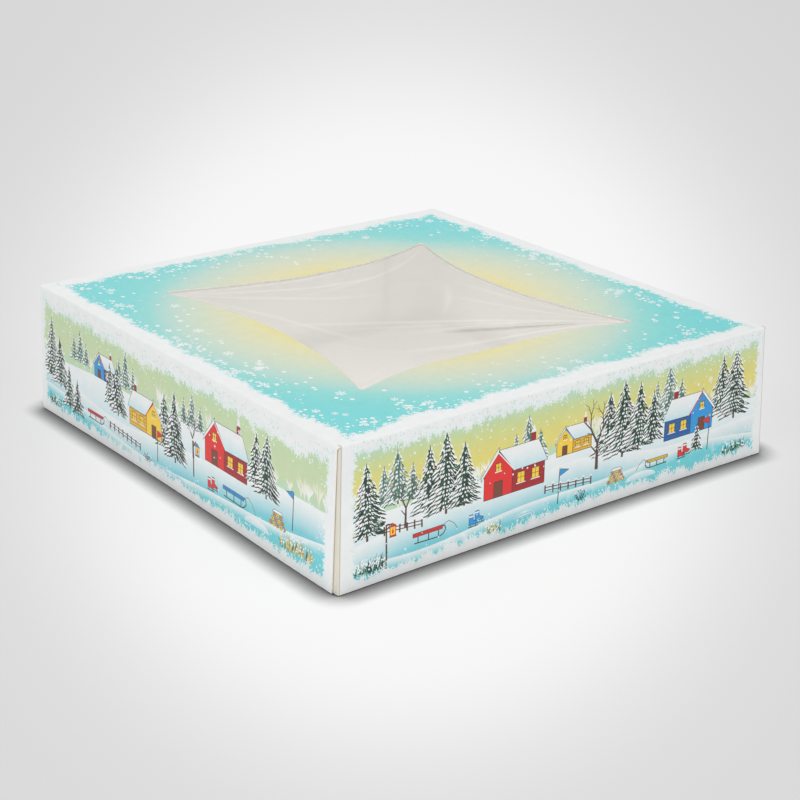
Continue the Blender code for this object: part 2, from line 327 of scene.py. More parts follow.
class Page:
    """One side of a blank, in millimetres.

    It has an outline, creases and inked shapes in their painting order. Places within MERGE of each
    other are one, a point that lies within STRAIGHT of a line may be dropped from it, and a brushed
    stroke under SHORTEST is left out.
    """

    MERGE = 1e-4
    STRAIGHT = 0.006
    SHORTEST = 0.05

    def __init__(self, outline, hole=None):
        self.points = []
        self.edges = []
        self.shapes = []
        self.inks = []
        self.loose = set()
        self.outline = self.add(outline, NO_INK)
        self.hole = self.add(hole, NO_INK) if hole else None

    def add(self, outline, colour):
        """Paints a shape over what is there. Its colour is an ink, or a function of x and y."""
        first = len(self.points)
        self.points.extend(Vector(point) for point in outline)
        self.shapes.append(list(range(first, len(self.points))))
        self.inks.append(colour)
        return len(self.shapes) - 1

    def crease(self, start, end):
        self.edges.append((len(self.points), len(self.points) + 1))
        self.points.extend((Vector(start), Vector(end)))

    def grain(self, low, high, step):
        """Loose points, so that a colour that changes over the page is read often enough."""
        columns = int((high[0] - low[0]) / step)
        rows = int((high[1] - low[1]) / step)
        for column in range(columns + 1):
            for row in range(rows + 1):
                offset = step / 2 if row % 2 else 0.0
                self.loose.add(len(self.points))
                self.points.append(Vector((low[0] + column * step + offset, low[1] + row * step)))

    def lattice(self, low, high, step):
        """Creases too slight to see, which let a bowed panel bend."""
        for axis in (0, 1):
            for index in range(round((high[axis] - low[axis]) / step) + 1):
                start, end = list(low), list(high)
                start[axis] = end[axis] = low[axis] + index * step
                self.crease(start, end)

    def shown(self, spots, faces):
        """The ink that shows in each face: that of the last shape painted there, or None off the page."""
        places = numpy.array([spot.to_tuple() for spot in spots])
        centres = places[numpy.array(faces)].mean(axis=1)
        order = numpy.argsort(centres[:, 0])
        columns = centres[order, 0]
        corners = numpy.array([point.to_tuple() for point in self.points])

        def covered(shape):
            outline = corners[self.shapes[shape]]
            low, high = outline.min(axis=0), outline.max(axis=0)
            first, last = numpy.searchsorted(columns, (low[0], high[0]))
            near = order[first:last]
            near = near[(centres[near, 1] >= low[1]) & (centres[near, 1] <= high[1])]
            return near[encloses(outline, centres[near])]

        top = numpy.full(len(faces), -1)
        for shape in range(len(self.shapes)):
            top[covered(shape)] = shape
        off = numpy.ones(len(faces), bool)
        off[covered(self.outline)] = False
        if self.hole:
            off[covered(self.hole)] = True
        top[off] = -1
        return [None if shape < 0 else self.inks[shape] for shape in top]

    def borders(self):
        """The places of the flat page, and which lines and places its sheet keeps.

        Lines part two inks or follow a crease, and the grain's places lie in a blend.
        """
        strokes = [pair for shape in self.shapes for pair in zip(shape, shape[1:] + shape[:1])]
        spots, edges, faces, grains, sources, _ = geometry.delaunay_2d_cdt(
            self.points, self.edges + strokes, [], 0, self.MERGE, True
        )
        sides = {}
        shaded = set()
        for corners, colour in zip(faces, self.shown(spots, faces)):
            if callable(colour):
                shaded.update(corners)
            for pair in zip(corners, corners[1:] + corners[:1]):
                sides[pair] = colour
        creased = set()
        for pair, source in zip(edges, sources):
            if any(index < len(self.edges) for index in source):
                creased.update((tuple(pair), tuple(pair[::-1])))
        lines = set()
        for (start, end), colour in sides.items():
            if colour != sides.get((end, start)) or (start, end) in creased:
                lines.update(((start, end), (end, start)))
        grain = {index for index, source in enumerate(grains) if any(one in self.loose for one in source)}
        return spots, lines, creased, grain & shaded

    def straighten(self, spots, lines, creased):
        """Drops the points along a straight line where only hidden lines met it."""
        links = {}
        for start, end in sorted(lines):
            links.setdefault(start, set()).add(end)
        for spot in list(links):
            if len(links[spot]) != 2:
                continue
            before, after = links[spot]
            if after in links[before] or ((before, spot) in creased) != ((spot, after) in creased):
                continue
            base = spots[after] - spots[before]
            if abs(base.cross(spots[spot] - spots[before])) > self.STRAIGHT * base.length:
                continue
            for start, end in ((before, after), (after, before)):
                lines.add((start, end))
                lines -= {(start, spot), (spot, end)}
                links[start].remove(spot)
                links[start].add(end)
                if (start, spot) in creased:
                    creased.add((start, end))
            links[spot] = set()

    def sheet(self, place):
        """The page as a bmesh, each face with its ink."""
        spots, lines, creased, grain = self.borders()
        self.straighten(spots, lines, creased)
        kept = sorted({spot for pair in lines for spot in pair} | grain)
        number = {spot: index for index, spot in enumerate(kept)}
        pairs = sorted((number[start], number[end]) for start, end in lines if start < end)
        spots, _, faces, _, _, _ = geometry.delaunay_2d_cdt(
            [spots[spot] for spot in kept], pairs, [], 0, self.MERGE, True
        )
        sheet = bmesh.new()
        layer = sheet.loops.layers.float_color.new(PRINT)
        verts = [sheet.verts.new(place(spot.x * MM, spot.y * MM)) for spot in spots]
        for corners, colour in zip(faces, self.shown(spots, faces)):
            if colour is None:
                continue
            face = sheet.faces.new([verts[corner] for corner in corners])
            for loop, corner in zip(face.loops, corners):
                spot = spots[corner]
                loop[layer] = colour(spot.x, spot.y) if callable(colour) else colour
        bmesh.ops.delete(sheet, geom=[vert for vert in sheet.verts if not vert.link_faces], context="VERTS")
        return sheet


# Brush strokes


def kite(page, root, tip, width, colour, belly):
    """A stroke that is pointed at both ends, widest at a share of its length."""
    root, tip = Vector(root), Vector(tip)
    along = tip - root
    if along.length < page.SHORTEST:
        return
    side = Vector((-along.y, along.x)).normalized() * width / 2
    middle = root + along * belly
    page.add([root, middle - side, tip, middle + side], colour)


def bar(page, start, end, first_width, last_width, colour):
    """A straight stroke with square ends."""
    start, end = Vector(start), Vector(end)
    side = Vector((start.y - end.y, end.x - start.x)).normalized()
    first, last = side * first_width / 2, side * last_width / 2
    page.add([start - first, end - last, end + last, start + first], colour)


def polyline(page, points, width, colour):
    """Straight strokes from point to point."""
    for start, end in zip(points, points[1:]):
        bar(page, start, end, width, width, colour)


def outlined(page, points, colour, width=0.28, line=OUTLINE):
    """A filled shape with a drawn line round it."""
    page.add(points, colour)
    polyline(page, list(points) + [points[0]], width, line)


def disc(page, x, y, radius, colour, sides, squash=1.0, turn=0.0):
    """A dot, or a flat one where it is squashed."""
    rim = []
    for side in range(sides):
        angle = turn + 2 * math.pi * side / sides
        rim.append((x + radius * math.cos(angle), y + radius * squash * math.sin(angle)))
    page.add(rim, colour)


def leaning(angle):
    """The direction that leans from upright by an angle."""
    return Vector((math.sin(angle), math.cos(angle)))


def flake(page, rng, x, y, radius, barbs=True):
    """A six-armed snow crystal."""
    turn = rng.uniform(0.0, math.pi / 3)
    centre = Vector((x, y))
    for arm in range(6):
        angle = turn + arm * math.pi / 3
        direction = Vector((math.cos(angle), math.sin(angle)))
        kite(page, centre, centre + direction * radius, max(0.4, radius * 0.24), WHITE, 0.5)
        if not barbs:
            continue
        for share, reach in ((0.42, 0.34), (0.7, 0.24)):
            root = centre + direction * radius * share
            for side in (-1, 1):
                branch = angle + side * math.radians(55)
                tip = root + Vector((math.cos(branch), math.sin(branch))) * radius * reach
                kite(page, root, tip, max(0.3, radius * 0.16), WHITE, 0.4)
    disc(page, x, y, max(0.35, radius * 0.2), WHITE, 6)


def frost(page, rng, start, end, depth, spike=1.6, under=ICE, gaps=None):
    """Frost that grows in from an edge of the page, on the left of the way from start to end.

    A soft layer comes first and a white one on it, each a band with blades along its edge. Gaps is the
    colour that shows where the frost breaks up. Loose crystals and dots come last.
    """
    start, end = Vector(start), Vector(end)
    along = (end - start).normalized()
    inward = Vector((-along.y, along.x))
    length = (end - start).length
    seed = rng.uniform(0.0, 100.0)

    def reach(distance):
        broad = noise.noise(Vector((distance * 0.05, seed, 0.0)))
        fine = noise.noise(Vector((distance * 0.24, seed, 5.0)))
        return depth * (0.74 + 0.34 * broad) + spike * 0.9 * fine

    def spot(distance, inset):
        return start + along * distance + inward * inset

    for colour, grow, spacing in ((under, spike * 0.7, 1.3), (WHITE, 0.0, 0.62)):
        steps = int(length)
        band = [start, end]
        for step in range(steps, -1, -1):
            distance = length * step / steps
            band.append(spot(distance, max(0.4, reach(distance) + grow + rng.uniform(-0.3, 0.3) * spike)))
        page.add(band, colour)
        for blade in range(int(length / spacing)):
            distance = (blade + rng.random()) * spacing
            root = spot(distance, reach(distance) + grow - 0.6)
            heading = (inward + along * rng.gauss(0.0, 0.7)).normalized()
            tall = spike * (0.55 + 1.2 * rng.random() ** 2.2) + 0.5
            kite(page, root, root + heading * tall, rng.uniform(0.45, 0.95), colour, 0.35)
    if gaps:
        for _ in range(int(length * 0.9)):
            distance = rng.uniform(0.0, length)
            root = spot(distance, reach(distance) * rng.uniform(0.5, 1.0))
            heading = (inward + along * rng.gauss(0.0, 0.6)).normalized()
            kite(page, root, root + heading * rng.uniform(0.7, 2.0), rng.uniform(0.3, 0.7), gaps, 0.5)
    for _ in range(int(length / 3.2)):
        distance = rng.uniform(0.0, length)
        hub = spot(distance, reach(distance) + rng.uniform(-0.2, 1.3) * spike)
        flake(page, rng, hub.x, hub.y, rng.uniform(0.8, 1.6) * (0.6 + 0.4 * spike), False)
    for _ in range(int(length * 0.9)):
        distance = rng.uniform(0.0, length)
        hub = spot(distance, reach(distance) + spike * (0.5 + rng.expovariate(0.7)))
        disc(page, hub.x, hub.y, rng.uniform(0.2, 0.58), WHITE, 5, 1.0, rng.random())


def snowfall(page, rng, low, high, kinds, weight=None):
    """Dots, then crystals, over a part of the page.

    Kinds gives the count and the sizes of each, and weight how likely a place is to keep one.
    """
    for stroke, (count, size) in zip((disc_of_snow, flake), kinds):
        made = 0
        while made < count:
            x, y = rng.uniform(low[0], high[0]), rng.uniform(low[1], high[1])
            if weight and rng.random() > weight(x, y):
                continue
            made += 1
            stroke(page, rng, x, y, rng.uniform(*size))


def disc_of_snow(page, rng, x, y, radius):
    """A dot of a shade between white and ice."""
    disc(page, x, y, radius, mix(WHITE, ICE, rng.uniform(0.0, 0.7)), 6, 1.0, rng.random())


# Motifs of the winter village. Their numbers are shares of their own size, or millimetres of the page


def fir(page, rng, x, foot, height, needles=NEEDLES):
    """A snow-laden fir: a dark heart, then boughs from the lowest tier up, each with its snow."""
    trunk = height * 0.08
    spread = height * rng.uniform(0.31, 0.38)
    bark = BARK if height > 14 else needles[0]
    bar(page, (x, foot), (x, foot + height * 0.5), height * 0.035, height * 0.02, bark)
    tiers = max(5, round(height / 2.0))
    heart = []
    for side in (-1, 1):
        order = range(tiers) if side < 0 else range(tiers - 1, -1, -1)
        for tier in order:
            share = tier / tiers
            level = foot + trunk + (height - trunk) * share
            half = spread * (1 - share) ** 0.9 * (0.62 if tier % 2 else 0.38)
            heart.append((x + side * half, level))
    page.add(heart, needles[1])
    for tier in range(tiers + 1):
        share = tier / (tiers + 0.6)
        level = foot + trunk + (height - trunk) * share
        half = spread * (1 - share) ** 0.88 * rng.uniform(0.8, 1.15) + 0.3
        boughs = max(1, round(half / 1.8))
        for bough in range(-boughs, boughs + 1):
            place = (bough + rng.uniform(-0.35, 0.35)) / (boughs + 0.3)
            droop = (0.7 + 1.5 * abs(place)) * rng.uniform(0.7, 1.3) * min(1.0, height / 24)
            root = (x + place * half * 0.5, level + 0.6)
            tip = (x + place * half * 1.08 + 0.05, level - droop)
            thick = rng.uniform(0.85, 1.3) * (0.66 + height / 100)
            kite(page, root, tip, thick, rng.choice(needles), 0.6)
            if rng.random() < 0.85:
                lift = thick * 0.62
                snow_root = (root[0] * 0.85 + tip[0] * 0.15, root[1] * 0.85 + tip[1] * 0.15 + lift)
                snow_tip = (tip[0] + place * 0.5, tip[1] + lift * 0.75)
                kite(page, snow_root, snow_tip, thick * rng.uniform(0.75, 1.2), SNOW, 0.5)
    kite(page, (x, foot + height * 0.93), (x, foot + height + 1.2), 0.6, needles[0], 0.3)


def bare_tree(page, rng, x, foot, height):
    """A leafless tree that forks upwards."""

    def limb(start, angle, length, width, depth):
        end = start + leaning(angle) * length
        bar(page, start, end, width, width * 0.62, BARK)
        if depth == 0:
            return
        for side in (-1, 1):
            if depth < 3 and rng.random() < 0.12:
                continue
            turn = angle + side * rng.uniform(0.25, 0.62)
            limb(end, turn, length * rng.uniform(0.58, 0.78), width * 0.62, depth - 1)
        limb(start + (end - start) * 0.6, angle + rng.choice((-1, 1)) * 0.7, length * 0.45, width * 0.45, 0)

    limb(Vector((x, foot)), rng.uniform(-0.05, 0.05), height * 0.36, height * 0.055, 4)


def cottage(page, x, foot, width, paint, mirrored=False):
    """A gabled cottage seen from its corner, with snow on the roof, a chimney, a door and lit windows."""
    wall, shade, trim = paint
    gable = width * 0.46
    rise = width * 0.34
    peak = width * 0.27
    ridge = rise + peak
    eave = width * 0.05
    drift = width * 0.055

    def shape(*corners):
        return [(x + (width - across if mirrored else across), foot + up) for across, up in corners]

    def block(left, low, right, high):
        return shape((left, low), (right, low), (right, high), (left, high))

    outlined(page, block(gable, 0, width, rise), shade)
    outlined(page, shape((0, 0), (gable, 0), (gable, rise), (gable / 2, ridge), (0, rise)), wall)
    for board in range(1, 6):
        level = rise * board / 6
        polyline(page, shape((gable, level), (width, level)), 0.14, OUTLINE)

    stack = gable + (width - gable) * 0.55
    chimney = width * 0.075
    cap = rise + peak * 1.45
    outlined(page, block(stack, rise + peak * 0.5, stack + chimney, rise + peak * 1.5), DEEP_RED)
    cap_tip = (stack + chimney * 0.6, rise + peak * 1.85)
    page.add(shape((stack - 0.3, cap), (stack + chimney + 0.3, cap), cap_tip), SNOW)

    eave_corner = (gable + eave * 0.8, rise - eave * 0.9)
    roof = shape(
        (gable / 2, ridge + 0.4),
        (width - gable * 0.25, ridge + 0.4),
        (width + eave, rise - eave * 0.7),
        eave_corner,
    )
    middle = foot + rise + peak * 0.4
    outlined(page, roof, lambda px, py: mix(SNOW_SHADE, SNOW, (py - middle) / peak + 0.75), 0.22)
    left_roof = shape(
        (gable / 2 + 0.2, ridge + drift),
        (-eave, rise - eave + drift * 0.5),
        (-eave, rise - eave - drift * 0.4),
        (gable / 2, ridge - drift * 0.4),
    )
    outlined(page, left_roof, SNOW, 0.22)
    polyline(page, shape((gable / 2, ridge - drift * 0.4), eave_corner), 0.5, trim)

    door = gable * 0.15
    outlined(page, block(gable / 2 - door, 0, gable / 2 + door, rise * 0.62), BROWN)
    panes = [(gable / 2, rise + peak * 0.22, width * 0.045)]
    panes += [(gable + (width - gable) * share, rise * 0.52, width * 0.06) for share in (0.27, 0.72)]
    for across, up, half in panes:
        tall, sill = half * 1.2, half * 1.3
        outlined(page, block(across - half, up - tall, across + half, up + tall), YELLOW, 0.3)
        polyline(page, shape((across, up - tall), (across, up + tall)), 0.2, OUTLINE)
        polyline(page, shape((across - half, up), (across + half, up)), 0.2, OUTLINE)
        polyline(page, shape((across - sill, up - sill), (across + sill, up - sill)), 0.45, SNOW)


def fence(page, rng, start, end, posts):
    """Posts and two rails, with a cap of snow on each post."""
    start, end = Vector(start), Vector(end)
    for height in (1.6, 3.1):
        lift = Vector((0.0, height))
        bar(page, start + lift, end + lift, 0.5, 0.5, BARK)
        snow = Vector((0.0, height + 0.42))
        bar(page, start + snow, end + snow, 0.42, 0.42, SNOW)
    for post in range(posts):
        foot = start.lerp(end, post / (posts - 1))
        top = foot + Vector((rng.uniform(-0.2, 0.2), 4.4 + rng.uniform(-0.3, 0.3)))
        bar(page, foot, top, 0.85, 0.8, BARK)
        disc(page, top.x, top.y, 0.78, SNOW, 8, 0.62)


def bush(page, rng, x, foot, height):
    """A small bush of bare twigs with a little snow."""
    twigs = 9
    for twig in range(twigs):
        angle = (twig / (twigs - 1) - 0.5) * 1.7 + rng.uniform(-0.1, 0.1)
        length = height * rng.uniform(0.7, 1.0)
        root = Vector((x + angle * 0.5, foot))
        tip = root + leaning(angle) * length
        kite(page, root, tip, 0.42, NEEDLES[0], 0.3)
        for share in (0.5, 0.75):
            hub = root.lerp(tip, share)
            side = angle + rng.choice((-1, 1)) * 0.7
            kite(page, hub, hub + leaning(side) * length * 0.28, 0.34, NEEDLES[0], 0.3)
        if twig % 2:
            disc(page, tip.x, tip.y, 0.42, SNOW, 6)


def sledge(page, x, foot, length, colour, mirrored=False):
    """A wooden sledge with curled runners."""
    sign = -1 if mirrored else 1

    def spot(across, up):
        return (x + sign * across * length, foot + up * length)

    curl = [spot(0.46, 0.05), spot(0.53, 0.15), spot(0.5, 0.26), spot(0.42, 0.27)]
    polyline(page, [spot(-0.48, 0.02), spot(0.34, 0.0)] + curl, 0.5, OUTLINE)
    for across in (-0.36, -0.02, 0.3):
        bar(page, spot(across, 0.02), spot(across, 0.2), 0.5, 0.5, OUTLINE)
    seat = [spot(-0.52, 0.19), spot(0.42, 0.19), spot(0.44, 0.29), spot(-0.52, 0.29)]
    outlined(page, seat, colour, 0.3)
    polyline(page, [spot(-0.5, 0.24), spot(0.42, 0.24)], 0.2, OUTLINE)
    rope = [spot(0.42, 0.27), spot(0.62, 0.36), spot(0.8, 0.24), spot(0.95, 0.02)]
    polyline(page, rope, 0.26, BROWN)


def pennant(page, x, foot, height, colour, sign=1):
    """A pole with a flag that marks a trail."""
    bar(page, (x, foot), (x + 0.4, foot + height), 0.55, 0.42, OUTLINE)
    top = foot + height
    outlined(page, [(x + 0.4, top), (x + 0.4 + sign * 5.6, top - 1.5), (x + 0.3, top - 3.6)], colour, 0.24)
    disc(page, x + 0.4, top + 0.3, 0.6, YELLOW, 8)


def log_pile(page, x, foot, log=2.2):
    """Sawn logs stacked in three rows, with snow on top."""
    for row, count in ((0, 5), (1, 4), (2, 3)):
        for index in range(count):
            across = x + (index - (count - 1) / 2) * log * 1.04
            up = foot + log * (0.5 + row * 0.9)
            disc(page, across, up, log * 0.5, OUTLINE, 12)
            disc(page, across, up, log * 0.42, YELLOW if (row + index) % 2 else TIMBER, 12)
            disc(page, across, up, log * 0.16, BROWN, 8)
    top = foot + log * 2.75
    cap = [(x - log * 1.7, top), (x + log * 1.7, top), (x + log * 1.1, top + 1.3), (x - log, top + 1.5)]
    outlined(page, cap, SNOW, 0.2)


def lantern(page, x, foot, height, colour):
    """A lit lantern that hangs from a post."""
    bar(page, (x, foot), (x, foot + height), 0.9, 0.8, BARK)
    arm = foot + height - 1.0
    bar(page, (x - 0.3, arm), (x + 3.6, arm), 0.6, 0.5, BARK)
    polyline(page, [(x + 0.2, arm - 2.2), (x + 2.0, arm)], 0.45, BARK)
    disc(page, x, foot + height, 1.0, SNOW, 8, 0.6)
    left, right, top, low = x + 1.9, x + 4.9, arm - 1.3, arm - 5.4
    polyline(page, [(x + 3.4, arm), (x + 3.4, top)], 0.35, OUTLINE)
    outlined(page, [(left, low), (right, low), (right, top), (left, top)], YELLOW, 0.45, colour)
    outlined(page, [(left - 0.5, top), (right + 0.5, top), (x + 3.4, top + 1.4)], colour, 0.24)
    base = [(left - 0.3, low - 0.6), (right + 0.3, low - 0.6), (right, low), (left, low)]
    outlined(page, base, colour, 0.24)
    kite(page, (x + 3.4, low + 0.5), (x + 3.4, top - 0.6), 1.1, RED, 0.35)


def pond(page, x, y, width, height):
    """A frozen pond with scratched ice."""
    rim = []
    for step in range(28):
        angle = 2 * math.pi * step / 28
        rim.append((x + width / 2 * math.cos(angle), y + height / 2 * math.sin(angle)))
    page.add(rim, lambda px, py: mix(HOLLOW, SNOW_SHADE, 0.5 + (py - y) / height))
    for shift, long in ((-0.16, 0.5), (0.1, 0.34), (0.24, 0.2)):
        level = y + height * shift
        kite(page, (x - width * long / 2, level), (x + width * long / 2, level + 0.5), 0.45, SNOW, 0.5)


def skates(page, x, foot, colour):
    """A pair of ice skates left on the snow."""
    for shift, lift in ((3.4, 1.2), (0.0, 0.0)):
        left, low = x + shift, foot + lift
        boot = [(0, 1.3), (4.6, 1.3), (4.8, 2.3), (2.4, 3.3), (2.2, 6.0), (0.1, 6.0)]
        outlined(page, [(left + across, low + up) for across, up in boot], colour, 0.26)
        polyline(page, [(left, low + 5.2), (left + 2.3, low + 5.2)], 0.7, SNOW)
        blade = [(left - 0.4, low + 0.3), (left + 4.9, low + 0.3), (left + 5.3, low + 0.9)]
        polyline(page, blade, 0.4, OUTLINE)
        for across in (0.8, 3.8):
            polyline(page, [(left + across, low + 0.3), (left + across, low + 1.3)], 0.35, OUTLINE)


def dry_grass(page, rng, x, foot, width, height, colours):
    """A thick tuft of grass and twigs that stands out of the snow."""
    for _ in range(int(width * 3.2)):
        root = Vector((x + rng.uniform(-0.5, 0.5) * width, foot + rng.uniform(-1.0, 1.0)))
        lean = rng.gauss(0.0, 0.42)
        tip = root + leaning(lean) * height * rng.uniform(0.4, 1.0)
        kite(page, root, tip, rng.uniform(0.45, 0.8), rng.choice(colours), 0.3)
    for _ in range(int(width * 1.8)):
        disc(page, x + rng.uniform(-0.5, 0.5) * width, foot + rng.uniform(0.2, 0.9) * height, 0.5, SNOW, 6)


def snow_mound(page, x, foot, width, height):
    """A low heap of snow with a shaded foot."""
    arch = []
    for step in range(15):
        angle = math.pi * step / 14
        arch.append((x + width * math.cos(angle) / 2, foot + height * math.sin(angle)))
    page.add(arch, lambda px, py: mix(SNOW_SHADE, SNOW, (py - foot) / height * 1.7 - 0.1))


def wood(page, rng, trees):
    """Firs, each given as its place across, its foot and its height."""
    for x, foot, height in trees:
        fir(page, rng, x, foot, height)


def far_wood(page, rng, foot, trees):
    """Paler firs on one level, each given as its place across and its height."""
    for x, height in trees:
        fir(page, rng, x, foot, height, FAR_NEEDLES)


# The land


def swell(waves, base):
    """A hill's crest: a base height and a sum of (length, height, shift) waves, in millimetres."""

    def wave(x, length, height, shift):
        return height * math.sin(2 * math.pi * (x + shift) / length)

    def crest(x):
        return base + sum(wave(x, *each) for each in waves)

    return crest


def hill(page, crest, reach, fade, high=SNOW, low=HOLLOW):
    """Snow below a crest, which turns from the high colour to the low one over a depth of fade."""
    count = int(2 * reach / 3.0)
    places = [-reach + 2 * reach * index / count for index in range(count + 1)]
    line = [(x, crest(x)) for x in places]

    def snow(x, y):
        return mix(high, low, ((crest(x) - y) / fade) ** 1.3 if y < crest(x) else 0.0)

    page.add([(-reach, -BLEED), (reach, -BLEED)] + line[::-1], snow)


def treeline(page, rng, crest, reach, height, colour):
    """A far wood: a ragged band that stands on a crest."""
    points = []
    x = -reach
    while x < reach:
        points.append((x, crest(x) + height * rng.uniform(0.15, 0.4)))
        x += rng.uniform(0.8, 1.5)
        points.append((x, crest(x) + height * rng.uniform(0.7, 1.15)))
        x += rng.uniform(0.5, 1.1)
    page.add([(-reach, crest(-reach) - 5.0)] + points + [(x, crest(reach) - 5.0)], colour)


def pale_wood(page, rng, crest, reach, count, height):
    """Frosted birches that stand out pale from the sky, each a fan of brushed twigs."""
    for _ in range(count):
        x = rng.uniform(-reach, reach)
        foot = Vector((x, crest(x) - 1.0))
        tall = height * rng.uniform(0.5, 1.0)
        tone = mix(SNOW, GLOW, rng.uniform(0.0, 0.4))
        for twig in range(7):
            lean = (twig - 3) * 0.13 + rng.uniform(-0.05, 0.05)
            root = foot + Vector((lean * 0.8, tall * 0.12 * abs(twig - 3)))
            tip = foot + leaning(lean) * tall * rng.uniform(0.75, 1.1)
            kite(page, root, tip, rng.uniform(0.5, 0.85), tone, 0.6)


def sky(height, glow, haze):
    """The sky's colour by height on the page: blue-green at the top, a wide glow under it."""
    stops = [
        (height * 0.50, glow),
        (height * 0.70, mix(glow, MEADOW, 0.35)),
        (height * 0.82, MEADOW),
        (height * 0.92, mix(MEADOW, SKY, 0.8)),
        (height * 1.02, SKY),
    ]
    stops = [(level, mix(colour, SKY, haze)) for level, colour in stops]
    return lambda x, y: ramp(stops, max(y, stops[0][0]))


# The folded form


def skirt_length():
    """The flat part of a skirt, from its foot to where the top fold begins."""
    lean = math.sin(settings().board.flare)
    lift = SKIRT_LOW.z + BOARD * lean
    return (LID_TOP - FOLD * (1 - lean) - lift) / math.cos(settings().board.flare)


class Skirt:
    """Lays a side's blank over the folded lid.

    Across runs to the right seen from outside, and up runs from the foot.
    """

    def __init__(self, outward, bow_middle, bow_half):
        board = settings().board
        self.flare = board.flare
        self.bow = board.bow
        self.bow_middle = bow_middle
        self.bow_half = bow_half
        self.outward = outward
        self.across = Vector((-outward.y, outward.x, 0.0))
        self.axis = CENTRE + outward * (HALF - FOLD) + UP * (LID_TOP - FOLD)
        self.normal = outward * math.cos(self.flare) + UP * math.sin(self.flare)
        self.rise = UP * math.cos(self.flare) - outward * math.sin(self.flare)
        self.length = skirt_length()
        self.fold_length = FOLD * (math.pi / 2 - self.flare)

    def bowed(self, place, across, up):
        """The middle of the foot is drawn in a little."""
        share = min(1.0, abs(across - self.bow_middle) / self.bow_half)
        depth = min(1.0, max(0.0, (self.length - up) / self.length))
        return place - self.outward * self.bow * (1 - share**2) * depth**BOW_FADE

    def place(self, across, up):
        """Where a spot of the blank lies: on the skirt, round the top fold, or on the lid's top."""
        over = up - self.length
        base = self.axis + self.across * across
        if over <= 0.0:
            return self.bowed(base + self.normal * FOLD + self.rise * over, across, up)
        if over <= self.fold_length:
            angle = self.flare + over / FOLD
            return base + (self.outward * math.cos(angle) + UP * math.sin(angle)) * FOLD
        return base + UP * FOLD - self.outward * (over - self.fold_length)


class FrontSkirt(Skirt):
    """The front skirt goes on round each front corner as a glue tab."""

    def __init__(self):
        super().__init__(FRONT, 0.0, HALF)
        self.lean = math.sin(self.flare)
        self.corner_top = HALF - FOLD - FOLD / math.cos(self.flare)
        self.turn = math.acos(self.lean**2)
        self.along = Vector((self.lean, -1.0)).normalized()
        self.away = Vector((1.0, self.lean)).normalized()

    def corner(self, up):
        """Where the corner fold begins, at a height on the blank."""
        return self.corner_top + (self.length - up) * self.lean

    def place(self, across, up):
        """As for any skirt, and beyond the corner fold round it and along the tab."""
        if up > self.length or abs(across) <= self.corner(up):
            return super().place(across, up)
        sign = 1.0 if across > 0 else -1.0
        offset = Vector((abs(across) - self.corner_top, up - self.length))
        along = offset.dot(self.along)
        past = offset.dot(self.away)
        foot = Vector((self.corner_top, self.length)) + self.along * along
        start = super().place(sign * foot.x, foot.y)
        tangent = (self.across * sign + self.rise * self.lean).normalized()
        angle = min(past / FOLD, self.turn)
        rest = max(0.0, past - FOLD * self.turn)
        point = start - self.normal * FOLD
        point += (self.normal * math.cos(angle) + tangent * math.sin(angle)) * FOLD
        return point + (tangent * math.cos(self.turn) - self.normal * math.sin(self.turn)) * rest


def rounded(points, index, radius):
    """The outline with one corner rounded."""
    steps = 5
    before, corner, after = (Vector(points[(index + shift) % len(points)]) for shift in (-1, 0, 1))
    back, forth = (before - corner).normalized(), (after - corner).normalized()
    half = back.angle(forth) / 2
    centre = corner + (back + forth).normalized() * radius / math.sin(half)
    start = (corner + back * radius / math.tan(half) - centre).normalized()
    end = (corner + forth * radius / math.tan(half) - centre).normalized()
    arc = [centre + start.slerp(end, step / steps) * radius for step in range(steps + 1)]
    return list(points[:index]) + arc + list(points[index + 1 :])


def window_outline(grow=0.0, side_steps=28, tip_steps=8):
    """The window's edge in metres, or one that runs outside it at a constant distance."""
    film = settings().film
    half = film.chord / 2
    radius = (half**2 + film.window_bow**2) / (2 * film.window_bow)
    middle = half - film.window_bow + radius
    reach = radius + film.tip
    tip = (middle - math.sqrt(2 * reach**2 - middle**2)) / 2
    spread = math.atan2(tip, middle - tip)
    quarter = []
    for step in range(side_steps + 1):
        angle = -math.pi / 2 - spread + 2 * spread * step / side_steps
        quarter.append((math.cos(angle) * (radius - grow), middle + math.sin(angle) * (radius - grow)))
    for step in range(1, tip_steps):
        angle = math.pi / 2 + spread - (math.pi / 2 + 2 * spread) * step / tip_steps
        quarter.append((tip + math.cos(angle) * (film.tip + grow), tip + math.sin(angle) * (film.tip + grow)))
    outline = []
    for turn in range(4):
        for x, y in quarter:
            for _ in range(turn):
                x, y = y, -x
            outline.append((x, y))
    return outline


def panel_sag(x, y):
    """How far the panel and its film hang below flat at a place."""
    drops = settings().film.panel_sag
    turn = math.atan2(y, x) / (math.pi / 4) % 8
    before = int(turn)
    share = ease(turn - before)
    drop = drops[before % 8] * (1 - share) + drops[(before + 1) % 8] * share
    middle = sum(drops) / 8
    spread = min(1.0, math.hypot(x, y) / SAG_ROUND) ** 2
    fall = min(1.0, (1 - max(abs(x), abs(y)) / HALF) / SAG_REACH)
    return (middle + (drop - middle) * spread) * max(0.0, fall) ** SAG_FADE


# Materials. The scale of a noise is in waves per metre


